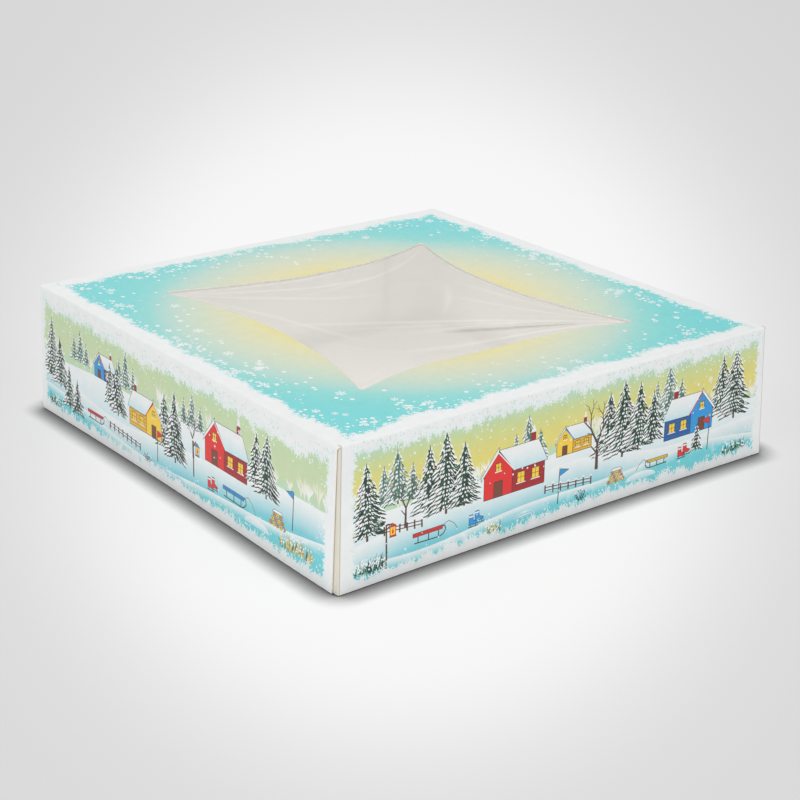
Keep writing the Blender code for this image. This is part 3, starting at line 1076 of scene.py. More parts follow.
class Finish:
    """A node material whose shader is a Principled one."""

    def __init__(self, name):
        self.material = bpy.data.materials.new(name)
        self.material.use_nodes = True
        self.nodes = self.material.node_tree.nodes
        self.links = self.material.node_tree.links
        self.shader = self.nodes["Principled BSDF"]
        self.position = self.add("ShaderNodeTexCoord").outputs["Object"]

    def add(self, kind, values=None, **options):
        node = self.nodes.new(kind)
        for key, value in options.items():
            setattr(node, key, value)
        for key, value in (values or {}).items():
            if isinstance(value, bpy.types.NodeSocket):
                self.links.new(value, node.inputs[key])
            else:
                node.inputs[key].default_value = value
        return node

    def calc(self, operation, first, second=0.0, **options):
        node = self.add("ShaderNodeMath", {0: first, 1: second}, operation=operation, **options)
        return node.outputs[0]

    def noise(self, scale, detail, stretch=None):
        vector = self.position
        if stretch:
            vector = self.add("ShaderNodeMapping", {"Vector": vector, "Scale": stretch}).outputs[0]
        node = self.add("ShaderNodeTexNoise", {"Vector": vector, "Scale": scale, "Detail": detail})
        return node.outputs["Fac"]

    def span(self, value, low, high, source_low=0.0, source_high=1.0):
        """A value moved from one range to another."""
        node = self.add(
            "ShaderNodeMapRange",
            {"Value": value, "From Min": source_low, "From Max": source_high, "To Min": low, "To Max": high},
        )
        return node.outputs["Result"]

    def cloud(self, scale, detail, low, high):
        """A noise that wanders between two levels."""
        return self.span(self.noise(scale, detail), low, high, NOISE_LOW, NOISE_HIGH)

    def tint(self, colour, value):
        """The colour, or another vector, with each channel multiplied by the value."""
        if not isinstance(colour, bpy.types.NodeSocket):
            colour = colour[:3]
        node = self.add("ShaderNodeVectorMath", {0: colour}, operation="SCALE")
        self.links.new(value, node.inputs["Scale"])
        return node.outputs["Vector"]

    def blend(self, share, first, second):
        node = self.add("ShaderNodeMix", data_type="RGBA")
        for socket, value in ((node.inputs[0], share), (node.inputs[6], first), (node.inputs[7], second)):
            if isinstance(value, bpy.types.NodeSocket):
                self.links.new(value, socket)
            else:
                socket.default_value = value
        return node.outputs[2]

    def set(self, **values):
        for key, value in values.items():
            socket = self.shader.inputs[key.replace("_", " ")]
            if isinstance(value, bpy.types.NodeSocket):
                self.links.new(value, socket)
            else:
                socket.default_value = value

    def relief(self, height, distance, strength, below=None):
        values = {"Height": height, "Distance": distance, "Strength": strength}
        if below:
            values["Normal"] = below
        return self.add("ShaderNodeBump", values).outputs["Normal"]


def coated_board(name, printed=True):
    """The outer side: inks over white coated board, under a satin varnish."""
    finish = Finish(name)
    colour = tuple(settings().board.white) + (1.0,)
    if printed:
        inks = finish.add("ShaderNodeAttribute", attribute_name=PRINT)
        colour = finish.blend(inks.outputs["Alpha"], colour, inks.outputs["Color"])
    colour = finish.tint(colour, finish.cloud(210.0, 5.0, 0.975, 1.02))
    rough = finish.cloud(520.0, 3.0, 0.34, 0.46)
    wave = finish.relief(finish.noise(26.0, 2.0), 0.0006, 0.35)
    fibres = finish.relief(finish.noise(1900.0, 3.0), 0.00003, 0.35, wave)
    finish.set(Base_Color=colour, Roughness=rough, Normal=fibres)
    finish.set(Specular_IOR_Level=0.42, Coat_Weight=0.12, Coat_Roughness=0.28)
    return finish.material


def painted_tray_shade(finish):
    """Painted shade on the tray's inside: darker along its bottom creases and beside its tabs' free ends."""
    calc, span = finish.calc, finish.span
    crease_reach = 0.011
    end_half, end_blur = 0.0004, 0.0034
    darkest = 0.38

    place = finish.add("ShaderNodeSeparateXYZ", {0: finish.position}).outputs
    across = calc("ABSOLUTE", place["X"])
    along = calc("ABSOLUTE", calc("SUBTRACT", place["Y"], CENTRE.y))
    by_wall = span(calc("MAXIMUM", across, along), 0.0, 1.0, TRAY_SIDE - 0.009, TRAY_SIDE - 0.001)
    low = span(place["Z"], 1.0, 0.0, BOARD, crease_reach)
    tab_end = TRAY_SIDE - FOLD - settings().board.tab - 0.0007
    end_line = span(calc("ABSOLUTE", calc("SUBTRACT", across, tab_end)), 1.0, 0.0, end_half, end_blur)
    end_line = calc("MULTIPLY", end_line, span(place["Z"], 1.0, 0.0, TAB_HIGH.z - 0.004, TAB_HIGH.z))
    end_line = calc("MULTIPLY", end_line, span(along, 0.0, 1.0, TRAY_SIDE - 0.004, TRAY_SIDE - 0.003))
    return span(calc("MAXIMUM", calc("MULTIPLY", by_wall, low), end_line), 1.0, darkest)


def bare_board(name, shade=None):
    """The inner side: warm uncoated board with fine fibres."""
    finish = Finish(name)
    base = tuple(settings().board.inside) + (1.0,)
    fleck = finish.span(finish.noise(1500.0, 2.0, (1.0, 0.35, 1.0)), 1.0, 0.93, 0.62, 0.74)
    colour = finish.tint(finish.tint(base, finish.cloud(60.0, 4.0, 0.97, 1.02)), fleck)
    # Painted shade, such as that of the tray's creases and tab ends, darkens the colour
    if shade:
        colour = finish.tint(colour, shade(finish))
    rough = finish.cloud(900.0, 2.0, 0.68, 0.82)
    fibres = finish.relief(finish.noise(1500.0, 4.0, (1.0, 0.4, 1.0)), 0.00005, 0.5)
    finish.set(Base_Color=colour, Roughness=rough, Normal=fibres, Specular_IOR_Level=0.3)
    return finish.material


def cut_board(name):
    """A cut edge: bare fibres in fine plies."""
    finish = Finish(name)
    base = tuple(settings().board.cut) + (1.0,)
    colour = finish.tint(base, finish.cloud(2600.0, 3.0, 0.93, 1.03))
    fibres = finish.relief(finish.noise(3000.0, 3.0), 0.00005, 0.6)
    finish.set(Base_Color=colour, Roughness=0.85, Normal=fibres, Specular_IOR_Level=0.25)
    return finish.material


def window_film(name):
    """Clear film that veils more at a glancing angle and along painted streaks of reflected light."""
    finish = Finish(name)
    slant = finish.add("ShaderNodeLayerWeight", {"Blend": 0.5}).outputs["Facing"]
    veil = finish.span(slant, 0.03, 0.43, 0.46, 0.60)
    # Painted light: along the streaks the film's veil thickens, so it shows whiter as a reflection would
    stretch = finish.add("ShaderNodeAttribute", attribute_name=PAINTED_STREAKS).outputs["Fac"]
    streak = finish.calc("MULTIPLY", stretch, finish.cloud(40.0, 3.0, 0.7, 1.2))
    streak = finish.calc("MULTIPLY", streak, 0.12)
    alpha = finish.calc("ADD", veil, streak, use_clamp=True)
    tint = tuple(settings().film.tint) + (1.0,)
    finish.set(Base_Color=tint, Roughness=0.10, Alpha=alpha, Specular_IOR_Level=0.5)
    return finish.material


def dried_glue(name):
    """Thin adhesive with a slightly rippled skin."""
    finish = Finish(name)
    colour = finish.tint((0.78, 0.70, 0.54, 1.0), finish.cloud(180.0, 4.0, 0.9, 1.06))
    ripple = finish.relief(finish.noise(420.0, 3.0), 0.0001, 0.5)
    rough = finish.cloud(300.0, 3.0, 0.35, 0.55)
    finish.set(Base_Color=colour, Roughness=rough, Normal=ripple, Specular_IOR_Level=0.5)
    return finish.material


def seen_rays(nodes, links):
    """1 for the rays that see the studio: the camera's, and those off gloss and through film."""
    path = nodes.new("ShaderNodeLightPath")
    seen = path.outputs["Is Camera Ray"]
    for kind in ("Is Glossy Ray", "Is Transmission Ray"):
        either = nodes.new("ShaderNodeMath")
        either.operation = "MAXIMUM"
        links.new(seen, either.inputs[0])
        links.new(path.outputs[kind], either.inputs[1])
        seen = either.outputs[0]
    return seen


# Finished pieces


def new_piece(name, shape, materials):
    mesh = bpy.data.meshes.new(name)
    shape.to_mesh(mesh)
    shape.free()
    piece = bpy.data.objects.new(name, mesh)
    bpy.context.scene.collection.objects.link(piece)
    for material in materials:
        mesh.materials.append(material)
    return piece


def smooth(mesh):
    mesh.shade_smooth()
    mesh.set_sharp_from_angle(angle=SHARP)


def give_thickness(piece, thickness):
    """Thickens a sheet behind its outer face: the second material inside, the third along the cuts."""
    solid = piece.modifiers.new("board", "SOLIDIFY")
    solid.thickness = thickness
    solid.offset = -1.0
    last = len(piece.data.materials) - 1
    solid.material_offset = min(1, last)
    solid.material_offset_rim = min(2, last)
    depsgraph = bpy.context.evaluated_depsgraph_get()
    solid_mesh = bpy.data.meshes.new_from_object(piece.evaluated_get(depsgraph))
    piece.modifiers.remove(solid)
    piece.data = solid_mesh
    smooth(solid_mesh)


def board_piece(name, sheet, shade=None):
    """A finished board: coated and maybe printed outside, bare inside, with its cuts."""
    printed = sheet.loops.layers.float_color.get(PRINT) is not None
    materials = [
        coated_board(f"{name}_coated", printed),
        bare_board(f"{name}_bare", shade),
        cut_board(f"{name}_cut"),
    ]
    piece = new_piece(name, sheet, materials)
    give_thickness(piece, BOARD)
    return piece


def crease_lines(page, skirt, half):
    """Lines across the page where its top fold turns, and a lattice over its bowed part."""
    page.lattice((-half, 0.0), (half, skirt.length / MM), half / 8)
    steps = settings().board.crease_steps
    for step in range(steps + 1):
        level = (skirt.length + skirt.fold_length * step / steps) / MM
        page.crease((-half, level), (half, level))


def top_page():
    """The lid's top: a glow round the window that turns turquoise, and frost along the edges."""
    board = settings().board
    reach = (HALF - FOLD - board.lip) / MM
    rear = HINGE_Y / MM
    hole = [(x / MM, y / MM) for x, y in window_outline()]
    page = Page([(-reach, -reach), (reach, -reach), (reach, rear), (-reach, rear)], hole)
    rng = random.Random(7)
    edge = HALF / MM

    def glow(x, y):
        return ramp(RIND, max(RIND[0][0], math.hypot(x, y)))

    corners = [(-edge, -edge), (edge, -edge), (edge, edge), (-edge, edge)]
    page.add(corners, glow)
    page.grain(corners[0], corners[2], 3.2)
    page.lattice(corners[0], corners[2], edge / 8)

    def near_frost(x, y):
        """Snow lies in clumps that thin out from the frost inwards, and stays clear of the window."""
        inset = edge - max(abs(x), abs(y))
        if math.hypot(x, y) < 84 or inset < 7:
            return 0.0
        clump = 0.55 + 0.9 * noise.noise(Vector((x * 0.05, y * 0.05, 8.0)))
        return clump * math.exp(-(inset - 7) / 10.0)

    snowfall(page, rng, corners[0], corners[2], ((700, (0.35, 1.2)), (104, (1.6, 3.3))), near_frost)
    for start, end in zip(corners, corners[1:] + corners[:1]):
        frost(page, rng, start, end, 9.5, 1.9, mix(RIND[-1][1], WHITE, 0.55))
    return page


def village(page, rng, half, height, hills, motifs, glow=GLOW, haze=0.0):
    """The picture that the sides share: sky, far woods, snow, and the motifs that stand in it."""
    head = height + 6.0
    page.add([(-half, -BLEED), (half, -BLEED), (half, head), (-half, head)], sky(height, glow, haze))
    page.grain((-half, -2.0), (half, height + 4.0), 3.0)
    far, middle, near = hills
    treeline(page, rng, far, half, 7.0, mix(MEADOW, SKY, 0.55))
    pale_wood(page, rng, far, half, 46, 13.0)
    hill(page, far, half, 26.0, SNOW, SNOW_SHADE)
    motifs(page, rng, "far")
    hill(page, middle, half, 14.0)
    motifs(page, rng, "middle")
    hill(page, near, half, 4.2, SNOW, TURQUOISE)
    motifs(page, rng, "near")
    air = (-half, height * 0.42), (half, height * 0.95)
    snowfall(page, rng, *air, ((200, (0.22, 0.6)), (12, (0.9, 2.2))))


def side_frost(page, rng, half, height, ends, head=9.0):
    """Frost round the whole picture; ends gives its depth at the two ends."""
    frost(page, rng, (-half, 0.0), (half, 0.0), 3.4, 2.6)
    frost(page, rng, (half, 0.0), (half, height), ends[1])
    frost(page, rng, (half, height), (-half, height), head, 2.5, ICE, mix(SKY, WHITE, 0.25))
    frost(page, rng, (-half, height), (-half, 0.0), ends[0])


def front_motifs(page, rng, layer):
    if layer == "far":
        far_wood(page, rng, 32.5, ((-104, 18), (-97, 24), (-89, 16), (-32, 15), (-25, 22), (-18, 14)))
        far_wood(page, rng, 32.5, ((54, 20), (62, 27), (70, 18)))
        cottage(page, -8, 31, 21, (YELLOW, OCHRE, BLUE))
    elif layer == "middle":
        wood(page, rng, ((-113, 20, 34), (-80, 24, 30), (-71, 21, 37), (-61, 22, 29), (24, 24, 30)))
        wood(page, rng, ((33, 21, 37),))
        cottage(page, -50, 21, 35, RED_PAINT)
        bare_tree(page, rng, 17, 19, 36)
        wood(page, rng, ((43, 22, 33), (52, 24, 25), (98, 26, 30), (107, 23, 36)))
        cottage(page, 60, 22, 32, BLUE_PAINT, True)
        fence(page, rng, (-104, 20), (-84, 18.5), 6)
        bare_tree(page, rng, -93, 21, 24)
    else:
        fence(page, rng, (-14, 15), (14, 12.5), 7)
        sledge(page, -80, 11.5, 17, RED)
        skates(page, -58, 10.5, BLUE)
        pond(page, -26, 8.5, 30, 4.6)
        lantern(page, -103, 8.5, 17, RED)
        log_pile(page, 30, 9.0)
        sledge(page, 56, 11, 14, YELLOW, True)
        pennant(page, -6, 8, 17, BLUE)
        pennant(page, 90, 11, 17, RED, -1)
        skates(page, 70, 10.5, RED)
        fir(page, rng, 82, 12, 13)
        dry_grass(page, rng, -112, 5.0, 18, 8.5, REEDS)
        dry_grass(page, rng, -44, 5.0, 9, 6.0, STRAW)
        bush(page, rng, 8, 5.5, 7.0)
        snow_mound(page, -66, 6.5, 16, 3.0)
        snow_mound(page, 46, 7.0, 20, 3.6)
        dry_grass(page, rng, 108, 5.5, 15, 7.0, REEDS)


def left_motifs(page, rng, layer):
    if layer == "far":
        far_wood(page, rng, 36, ((-92, 12), (-86, 16), (-80, 11), (-48, 13), (-42, 18), (-35, 12)))
        far_wood(page, rng, 36, ((10, 12), (17, 16), (24, 12)))
        cottage(page, -72, 34, 20, BLUE_PAINT)
    elif layer == "middle":
        wood(page, rng, ((-115, 19, 32), (-107, 17, 26), (-57, 23, 21), (-50, 20, 26)))
        wood(page, rng, ((-7, 17, 28), (2, 14, 34)))
        cottage(page, -39, 20, 29, YELLOW_PAINT, True)
        bare_tree(page, rng, 18, 22, 26)
    else:
        wood(page, rng, ((-98, 8, 22), (-90, 7, 18)))
        sledge(page, -72, 10, 15, RED)
        fence(page, rng, (-58, 11), (-30, 9), 8)
        cottage(page, 28, 25, 34, RED_PAINT)
        wood(page, rng, ((69, 27, 24), (77, 24, 29)))
        lantern(page, 18, 13, 18, BLUE)
        sledge(page, 52, 13, 18, BLUE)
        skates(page, 30, 11.5, RED)
        pennant(page, -14, 9, 16, RED)
        pennant(page, 97, 17, 18, BLUE, -1)
        log_pile(page, 86, 14, 2.4)
        pond(page, -4, 6.5, 28, 4.0)
        snow_mound(page, 70, 8, 20, 4)
        dry_grass(page, rng, 100, 7, 24, 9.5, STRAW)
        dry_grass(page, rng, -112, 6, 12, 6.5, REEDS)
        bush(page, rng, -24, 5, 6)


def right_motifs(page, rng, layer):
    if layer == "far":
        far_wood(page, rng, 34, ((-70, 14), (-62, 18), (-20, 15), (-13, 12), (64, 16), (72, 20), (80, 13)))
    elif layer == "middle":
        wood(page, rng, ((-104, 23, 32), (-94, 21, 36), (-30, 22, 30), (8, 23, 26)))
        wood(page, rng, ((90, 22, 34), (99, 20, 29)))
        cottage(page, -78, 22, 31, YELLOW_PAINT)
        cottage(page, 40, 23, 30, RED_PAINT, True)
        bare_tree(page, rng, -6, 20, 32)
    else:
        fence(page, rng, (-40, 13), (-4, 11), 9)
        sledge(page, 22, 11, 14, BLUE)
        pennant(page, 78, 11, 16, YELLOW)
        lantern(page, -92, 9, 17, BLUE)
        log_pile(page, -56, 9)
        skates(page, 50, 10, RED)
        pond(page, 0, 7, 26, 4)
        dry_grass(page, rng, -106, 5, 14, 8, REEDS)
        snow_mound(page, -74, 7, 18, 3.6)
        dry_grass(page, rng, 106, 5, 14, 7, STRAW)


def rear_motifs(page, rng, layer):
    if layer == "far":
        far_wood(page, rng, 33, ((-80, 14), (-73, 19), (10, 13), (17, 18), (24, 14), (86, 16)))
    elif layer == "middle":
        wood(page, rng, ((-108, 21, 33), (-99, 23, 28), (-48, 22, 35), (-40, 20, 30)))
        wood(page, rng, ((50, 22, 36), (59, 20, 31)))
        cottage(page, -30, 21, 31, BLUE_PAINT)
        cottage(page, 68, 22, 28, RED_PAINT)
        bare_tree(page, rng, 30, 20, 33)
    else:
        fence(page, rng, (-94, 14), (-62, 12), 8)
        sledge(page, 8, 11, 15, RED)
        pennant(page, -54, 10, 15, YELLOW)
        lantern(page, 86, 9, 17, RED)
        log_pile(page, 40, 9)
        skates(page, -20, 10, BLUE)
        dry_grass(page, rng, 104, 5, 14, 8, REEDS)
        snow_mound(page, 60, 7, 18, 3.6)
        dry_grass(page, rng, -108, 5, 12, 7, STRAW)


# Printed sheets


def front_skirt_sheet():
    """The front skirt, with the glue tab that goes on from it round each front corner."""
    skirt = FrontSkirt()
    board = settings().board
    half = HALF - FOLD
    turn_length = FOLD * skirt.turn
    top = skirt.length + skirt.fold_length + board.lip
    slit = skirt.length - SEAM_SLIT
    head_root = skirt.corner(slit) + turn_length
    foot_root = skirt.corner(0.0) + turn_length
    hand = [
        (half, top),
        (half, skirt.length),
        (skirt.corner_top, skirt.length),
        (skirt.corner(slit), slit),
        (head_root, slit - TAB_DROP / 2),
        (head_root + 0.004, slit - TAB_DROP),
        (head_root + board.tab, slit - MITRE),
        (foot_root + board.tab, MITRE + 0.001),
        (foot_root + 0.006, 0.0006),
        (skirt.corner(0.0), 0.0),
    ]
    outline = [(-x / MM, y / MM) for x, y in hand] + [(x / MM, y / MM) for x, y in reversed(hand)]
    page = Page(outline)
    rng = random.Random(11)
    height = (skirt.length + skirt.fold_length) / MM
    edge = HALF / MM
    hills = (
        swell([(190, 2.2, 20), (83, 1.2, 5)], 33),
        swell([(230, 3.4, 80), (97, 1.5, 12)], 23),
        swell([(260, 2.6, 10), (120, 1.6, 60)], 12.5),
    )
    village(page, rng, edge, height, hills, front_motifs)
    side_frost(page, rng, edge, height + 2.0, (7.0, 5.5))
    past = 0.002
    for sign in (-1, 1):
        bounds = [(sign * skirt.corner(up) / MM, up / MM) for up in (-past, top + past)]
        far = sign * (HALF + board.tab + 0.01) / MM
        page.add([bounds[0], (far, bounds[0][1]), (far, bounds[1][1]), bounds[1]], CREAM)
        # Painted shade: a thin darker strip along each corner fold, for the shade in its crease
        crease_shade_strip = [(x + sign * 0.42, y) for x, y in bounds]
        page.add([bounds[0], crease_shade_strip[0], crease_shade_strip[1], bounds[1]], PAINTED_CREASE_SHADE)
        for step in range(board.crease_steps + 1):
            shift = skirt.away * turn_length * step / board.crease_steps
            spots = [Vector((skirt.corner(up), up)) + shift for up in (-past, skirt.length)]
            page.crease(*((sign * spot.x / MM, spot.y / MM) for spot in spots))
    crease_lines(page, skirt, half / MM)
    return page.sheet(skirt.place)


def side_skirt_sheet(outward, seed, motifs, hills, front_sign):
    """A side skirt. The seam is at its front end, which lies on the side that front_sign gives."""
    skirt = Skirt(outward, front_sign * -BOW_SHIFT, HALF - BOW_SHIFT)
    board = settings().board
    lip_front = HALF - FOLD - board.lip
    end = HALF - SKIRT_END
    fold_end = skirt.length + skirt.fold_length
    outline = [
        (-end, fold_end + board.lip),
        (-end, 0.0),
        (HALF + FLARE_OUT - board.seam_foot, 0.0),
        (HALF - board.seam_top, skirt.length - 0.001),
        (end, skirt.length - 0.0001),
        (end, fold_end),
        (lip_front, fold_end),
        (lip_front, fold_end + board.lip),
    ]
    outline = rounded(outline, 1, board.corner)
    outline = [(round(front_sign * x / MM, 4), round(y / MM, 4)) for x, y in outline]
    if front_sign < 0:
        outline.reverse()
    page = Page(outline)
    rng = random.Random(seed)
    height = fold_end / MM
    edge = HALF / MM
    village(page, rng, edge, height, hills, motifs, mix(GLOW, SKY, 0.35), 0.35)
    side_frost(page, rng, edge, height + 2.0, (4.5, 7.0) if front_sign > 0 else (7.0, 4.5), head=12.5)
    crease_lines(page, skirt, (HALF + FLARE_OUT) / MM)
    return page.sheet(skirt.place)


def rear_wall_sheet():
    """The tray's rear wall, from its bottom crease up to the hinge."""
    half = (REAR_HIGH.x - REAR_LOW.x) / 2
    steps = settings().board.crease_steps
    fold_length = FOLD * math.pi / 2
    back = CENTRE + REAR * (HALF - FOLD)

    def place(across, up):
        base = back + Vector((-across, 0.0, FOLD))
        over = up - fold_length
        if over >= 0.0:
            return base + REAR * FOLD + UP * over
        angle = over / FOLD
        return base + (REAR * math.cos(angle) + UP * math.sin(angle)) * FOLD

    top = fold_length + (HINGE_Z - FOLD)
    outline = [(-half, 0.0), (half, 0.0), (half, top), (-half, top)]
    page = Page([(x / MM, y / MM) for x, y in outline])
    rng = random.Random(41)
    hills = (
        swell([(210, 2.6, 60)], 32),
        swell([(170, 2.8, 15), (90, 1.2, 0)], 23),
        swell([(240, 2.2, 100)], 12),
    )
    village(page, rng, half / MM, top / MM, hills, rear_motifs)
    side_frost(page, rng, half / MM, top / MM, (5.0, 5.0), head=7.5)
    for step in range(steps + 1):
        level = fold_length * step / steps / MM
        page.crease((-half / MM, level), (half / MM, level))
    return page.sheet(place)


# Tray


def spin_edge(sheet, edge, centre, axis, angle):
    """Folds on from an edge about an axis, and gives the new edge."""
    steps = settings().board.crease_steps
    result = bmesh.ops.spin(
        sheet,
        geom=[edge, *edge.verts],
        cent=centre,
        axis=axis,
        angle=angle,
        steps=steps,
        use_duplicate=False,
    )
    return next(item for item in result["geom_last"] if isinstance(item, bmesh.types.BMEdge))


def pull_edge(sheet, edge, offset, spread=0.0):
    """Draws a panel out of an edge by an offset, and lengthens or shortens its far edge at both ends."""
    result = bmesh.ops.extrude_edge_only(sheet, edges=[edge])
    new_edge = next(item for item in result["geom"] if isinstance(item, bmesh.types.BMEdge))
    bmesh.ops.translate(sheet, verts=new_edge.verts, vec=offset)
    if spread:
        first, second = new_edge.verts
        direction = (second.co - first.co).normalized() * spread
        first.co -= direction
        second.co += direction
    return new_edge


def edge_between(sheet, test):
    """The free edge whose two ends both pass the test."""
    free = (edge for edge in sheet.edges if edge.is_boundary)
    return next(edge for edge in free if all(test(vert.co) for vert in edge.verts))


def edge_near(sheet, place):
    """The free edge whose middle lies nearest to the place."""

    def away(edge):
        return ((edge.verts[0].co + edge.verts[1].co) / 2 - place).length

    return min((edge for edge in sheet.edges if edge.is_boundary), key=away)


def tray_sheet():
    """The tray's outer face, folded up from its bottom, with a glue tab at each end of the side walls."""
    sheet = bmesh.new()
    front = CENTRE.y - FRONT_WALL_LOW.y
    fold_x = TRAY_SIDE - FOLD
    fold_front, fold_rear = -(front - FOLD), HALF - FOLD
    wall_front, wall_rear = -(front - 2 * FOLD), HALF - 2 * FOLD
    top = WALL_HIGH.z
    right = [(fold_x, y) for y in (fold_rear, wall_rear, wall_front, fold_front)]
    left = [(-fold_x, y) for y in (fold_front, wall_front, wall_rear)]
    outline = [(-fold_x, fold_rear)] + right + left
    sheet.faces.new([sheet.verts.new((x, y + CENTRE.y, 0.0)) for x, y in outline])

    front_edge = edge_between(sheet, lambda co: abs(co.y - CENTRE.y - fold_front) < CLOSE)
    centre = Vector((0.0, CENTRE.y + fold_front, FOLD))
    front_edge = spin_edge(sheet, front_edge, centre, (1, 0, 0), -math.pi / 2)
    pull_edge(sheet, front_edge, UP * (top - FOLD), TRAY_SIDE - FOLD / 3 - fold_x)

    for sign in (-1, 1):

        def on_side_crease(co):
            on_crease = abs(co.x - sign * fold_x) < CLOSE and co.z < CLOSE
            return on_crease and wall_front - CLOSE < co.y - CENTRE.y < wall_rear + CLOSE

        foot = edge_between(sheet, on_side_crease)
        centre = Vector((sign * fold_x, 0.0, FOLD))
        foot = spin_edge(sheet, foot, centre, (0, 1, 0), -sign * math.pi / 2)
        low = pull_edge(sheet, foot, UP * (TAB_FOOT - FOLD))
        high = pull_edge(sheet, low, UP * (TAB_HIGH.z - TAB_FOOT))
        pull_edge(sheet, high, UP * (top - TAB_HIGH.z))
        middle = (TAB_FOOT + TAB_HIGH.z) / 2
        for end, wall_end in ((-1, wall_front), (1, wall_rear)):
            post = edge_near(sheet, Vector((sign * TRAY_SIDE, wall_end + CENTRE.y, middle)))
            corner = Vector((sign * (TRAY_SIDE - FOLD), wall_end + CENTRE.y, 0.0))
            post = spin_edge(sheet, post, corner, (0, 0, 1), sign * end * math.pi / 2)
            tip = pull_edge(sheet, post, LEFT * sign * settings().board.tab, -TAB_TAPER)
            bmesh.ops.bevel(
                sheet,
                geom=list(tip.verts),
                offset=TAB_CORNER,
                offset_type="OFFSET",
                segments=4,
                profile=0.5,
                affect="VERTICES",
                material=-1,
            )
    bmesh.ops.remove_doubles(sheet, verts=sheet.verts, dist=MM / 1000)
    bmesh.ops.recalc_face_normals(sheet, faces=sheet.faces)
    lowest = min(sheet.faces, key=lambda face: face.calc_center_median().z)
    if lowest.normal.z > 0:
        bmesh.ops.reverse_faces(sheet, faces=sheet.faces)
    return sheet


# Window film

# Wrinkles of the film as (start, middle, end, height, width): places in half windows, sizes in millimetres
WRINKLES = (
    ((-0.96, 0.92), (-0.2, 0.55), (0.55, 0.72), 0.25, 3.4),
    ((-0.96, 0.92), (-0.3, 0.38), (0.6, 0.38), 0.2, 4.2),
    ((-0.96, 0.92), (-0.5, 0.72), (0.1, 0.78), 0.18, 2.4),
    ((0.98, -0.95), (0.35, -0.52), (-0.78, 0.02), 0.33, 3.8),
    ((0.98, -0.95), (0.5, -0.62), (-0.5, -0.22), 0.22, 2.6),
    ((0.98, -0.95), (0.62, -0.4), (0.2, -0.14), 0.28, 3.2),
    ((0.98, -0.95), (0.2, -0.78), (-0.55, -0.74), 0.24, 3.0),
    ((0.95, -0.9), (0.72, -0.2), (0.62, 0.5), 0.13, 3.4),
    ((-0.92, -0.9), (-0.5, -0.62), (-0.2, -0.6), 0.16, 2.8),
    ((0.9, 0.92), (0.4, 0.66), (-0.2, 0.64), 0.14, 3.0),
)

# Painted reflection streaks on the film as (start, middle, end, strength, width), in the same terms
PAINTED_STREAK_LINES = (
    ((-0.97, 0.95), (-0.3, 0.66), (0.5, 0.86), 0.8, 1.3),
    ((-0.97, 0.95), (-0.4, 0.55), (0.3, 0.60), 1.0, 1.1),
    ((-0.97, 0.95), (-0.5, 0.42), (0.15, 0.30), 0.7, 1.5),
    ((-0.97, 0.95), (-0.62, 0.2), (-0.5, -0.35), 0.5, 1.8),
    ((0.98, -0.96), (0.3, -0.3), (-0.75, 0.12), 1.0, 1.6),
    ((0.98, -0.96), (0.42, -0.44), (-0.55, -0.1), 0.9, 1.0),
    ((0.98, -0.96), (0.5, -0.5), (-0.2, -0.36), 1.0, 1.2),
    ((0.98, -0.96), (0.4, -0.66), (-0.5, -0.62), 1.0, 1.5),
    ((0.98, -0.96), (0.66, -0.5), (0.45, 0.05), 0.7, 1.1),
    ((0.98, -0.96), (0.72, -0.4), (0.66, 0.3), 0.5, 1.4),
    ((0.9, 0.9), (0.3, 0.5), (-0.4, 0.52), 0.5, 1.6),
    ((0.2, -0.2), (0.45, 0.0), (0.6, 0.28), 0.4, 2.2),
)


def ridges(spots, folds, half):
    """The height, or the strength, that bent folds give at each spot. Each fades towards both ends."""
    total = numpy.zeros(len(spots))
    steps = 24
    shares = numpy.linspace(0.0, 1.0, steps + 1)[:, None]
    for start, middle, end, height, width in folds:
        a, b, c = (numpy.array(point) * half for point in (start, middle, end))
        points = (1 - shares) ** 2 * a + 2 * shares * (1 - shares) * b + shares**2 * c
        best = numpy.full(len(spots), numpy.inf)
        share = numpy.zeros(len(spots))
        for step, (before, after) in enumerate(zip(points, points[1:])):
            along = after - before
            part = numpy.clip((spots - before) @ along / (along @ along), 0.0, 1.0)
            distance = numpy.linalg.norm(spots - before - part[:, None] * along, axis=1)
            nearer = distance < best
            best[nearer] = distance[nearer]
            share[nearer] = (step + part[nearer]) / steps
        spread = width * MM * (0.45 + 0.9 * share)
        fade = numpy.maximum(0.0, numpy.sin(math.pi * (0.12 + 0.88 * share))) ** 0.7
        total += height * fade * numpy.exp(-((best / spread) ** 2))
    return total


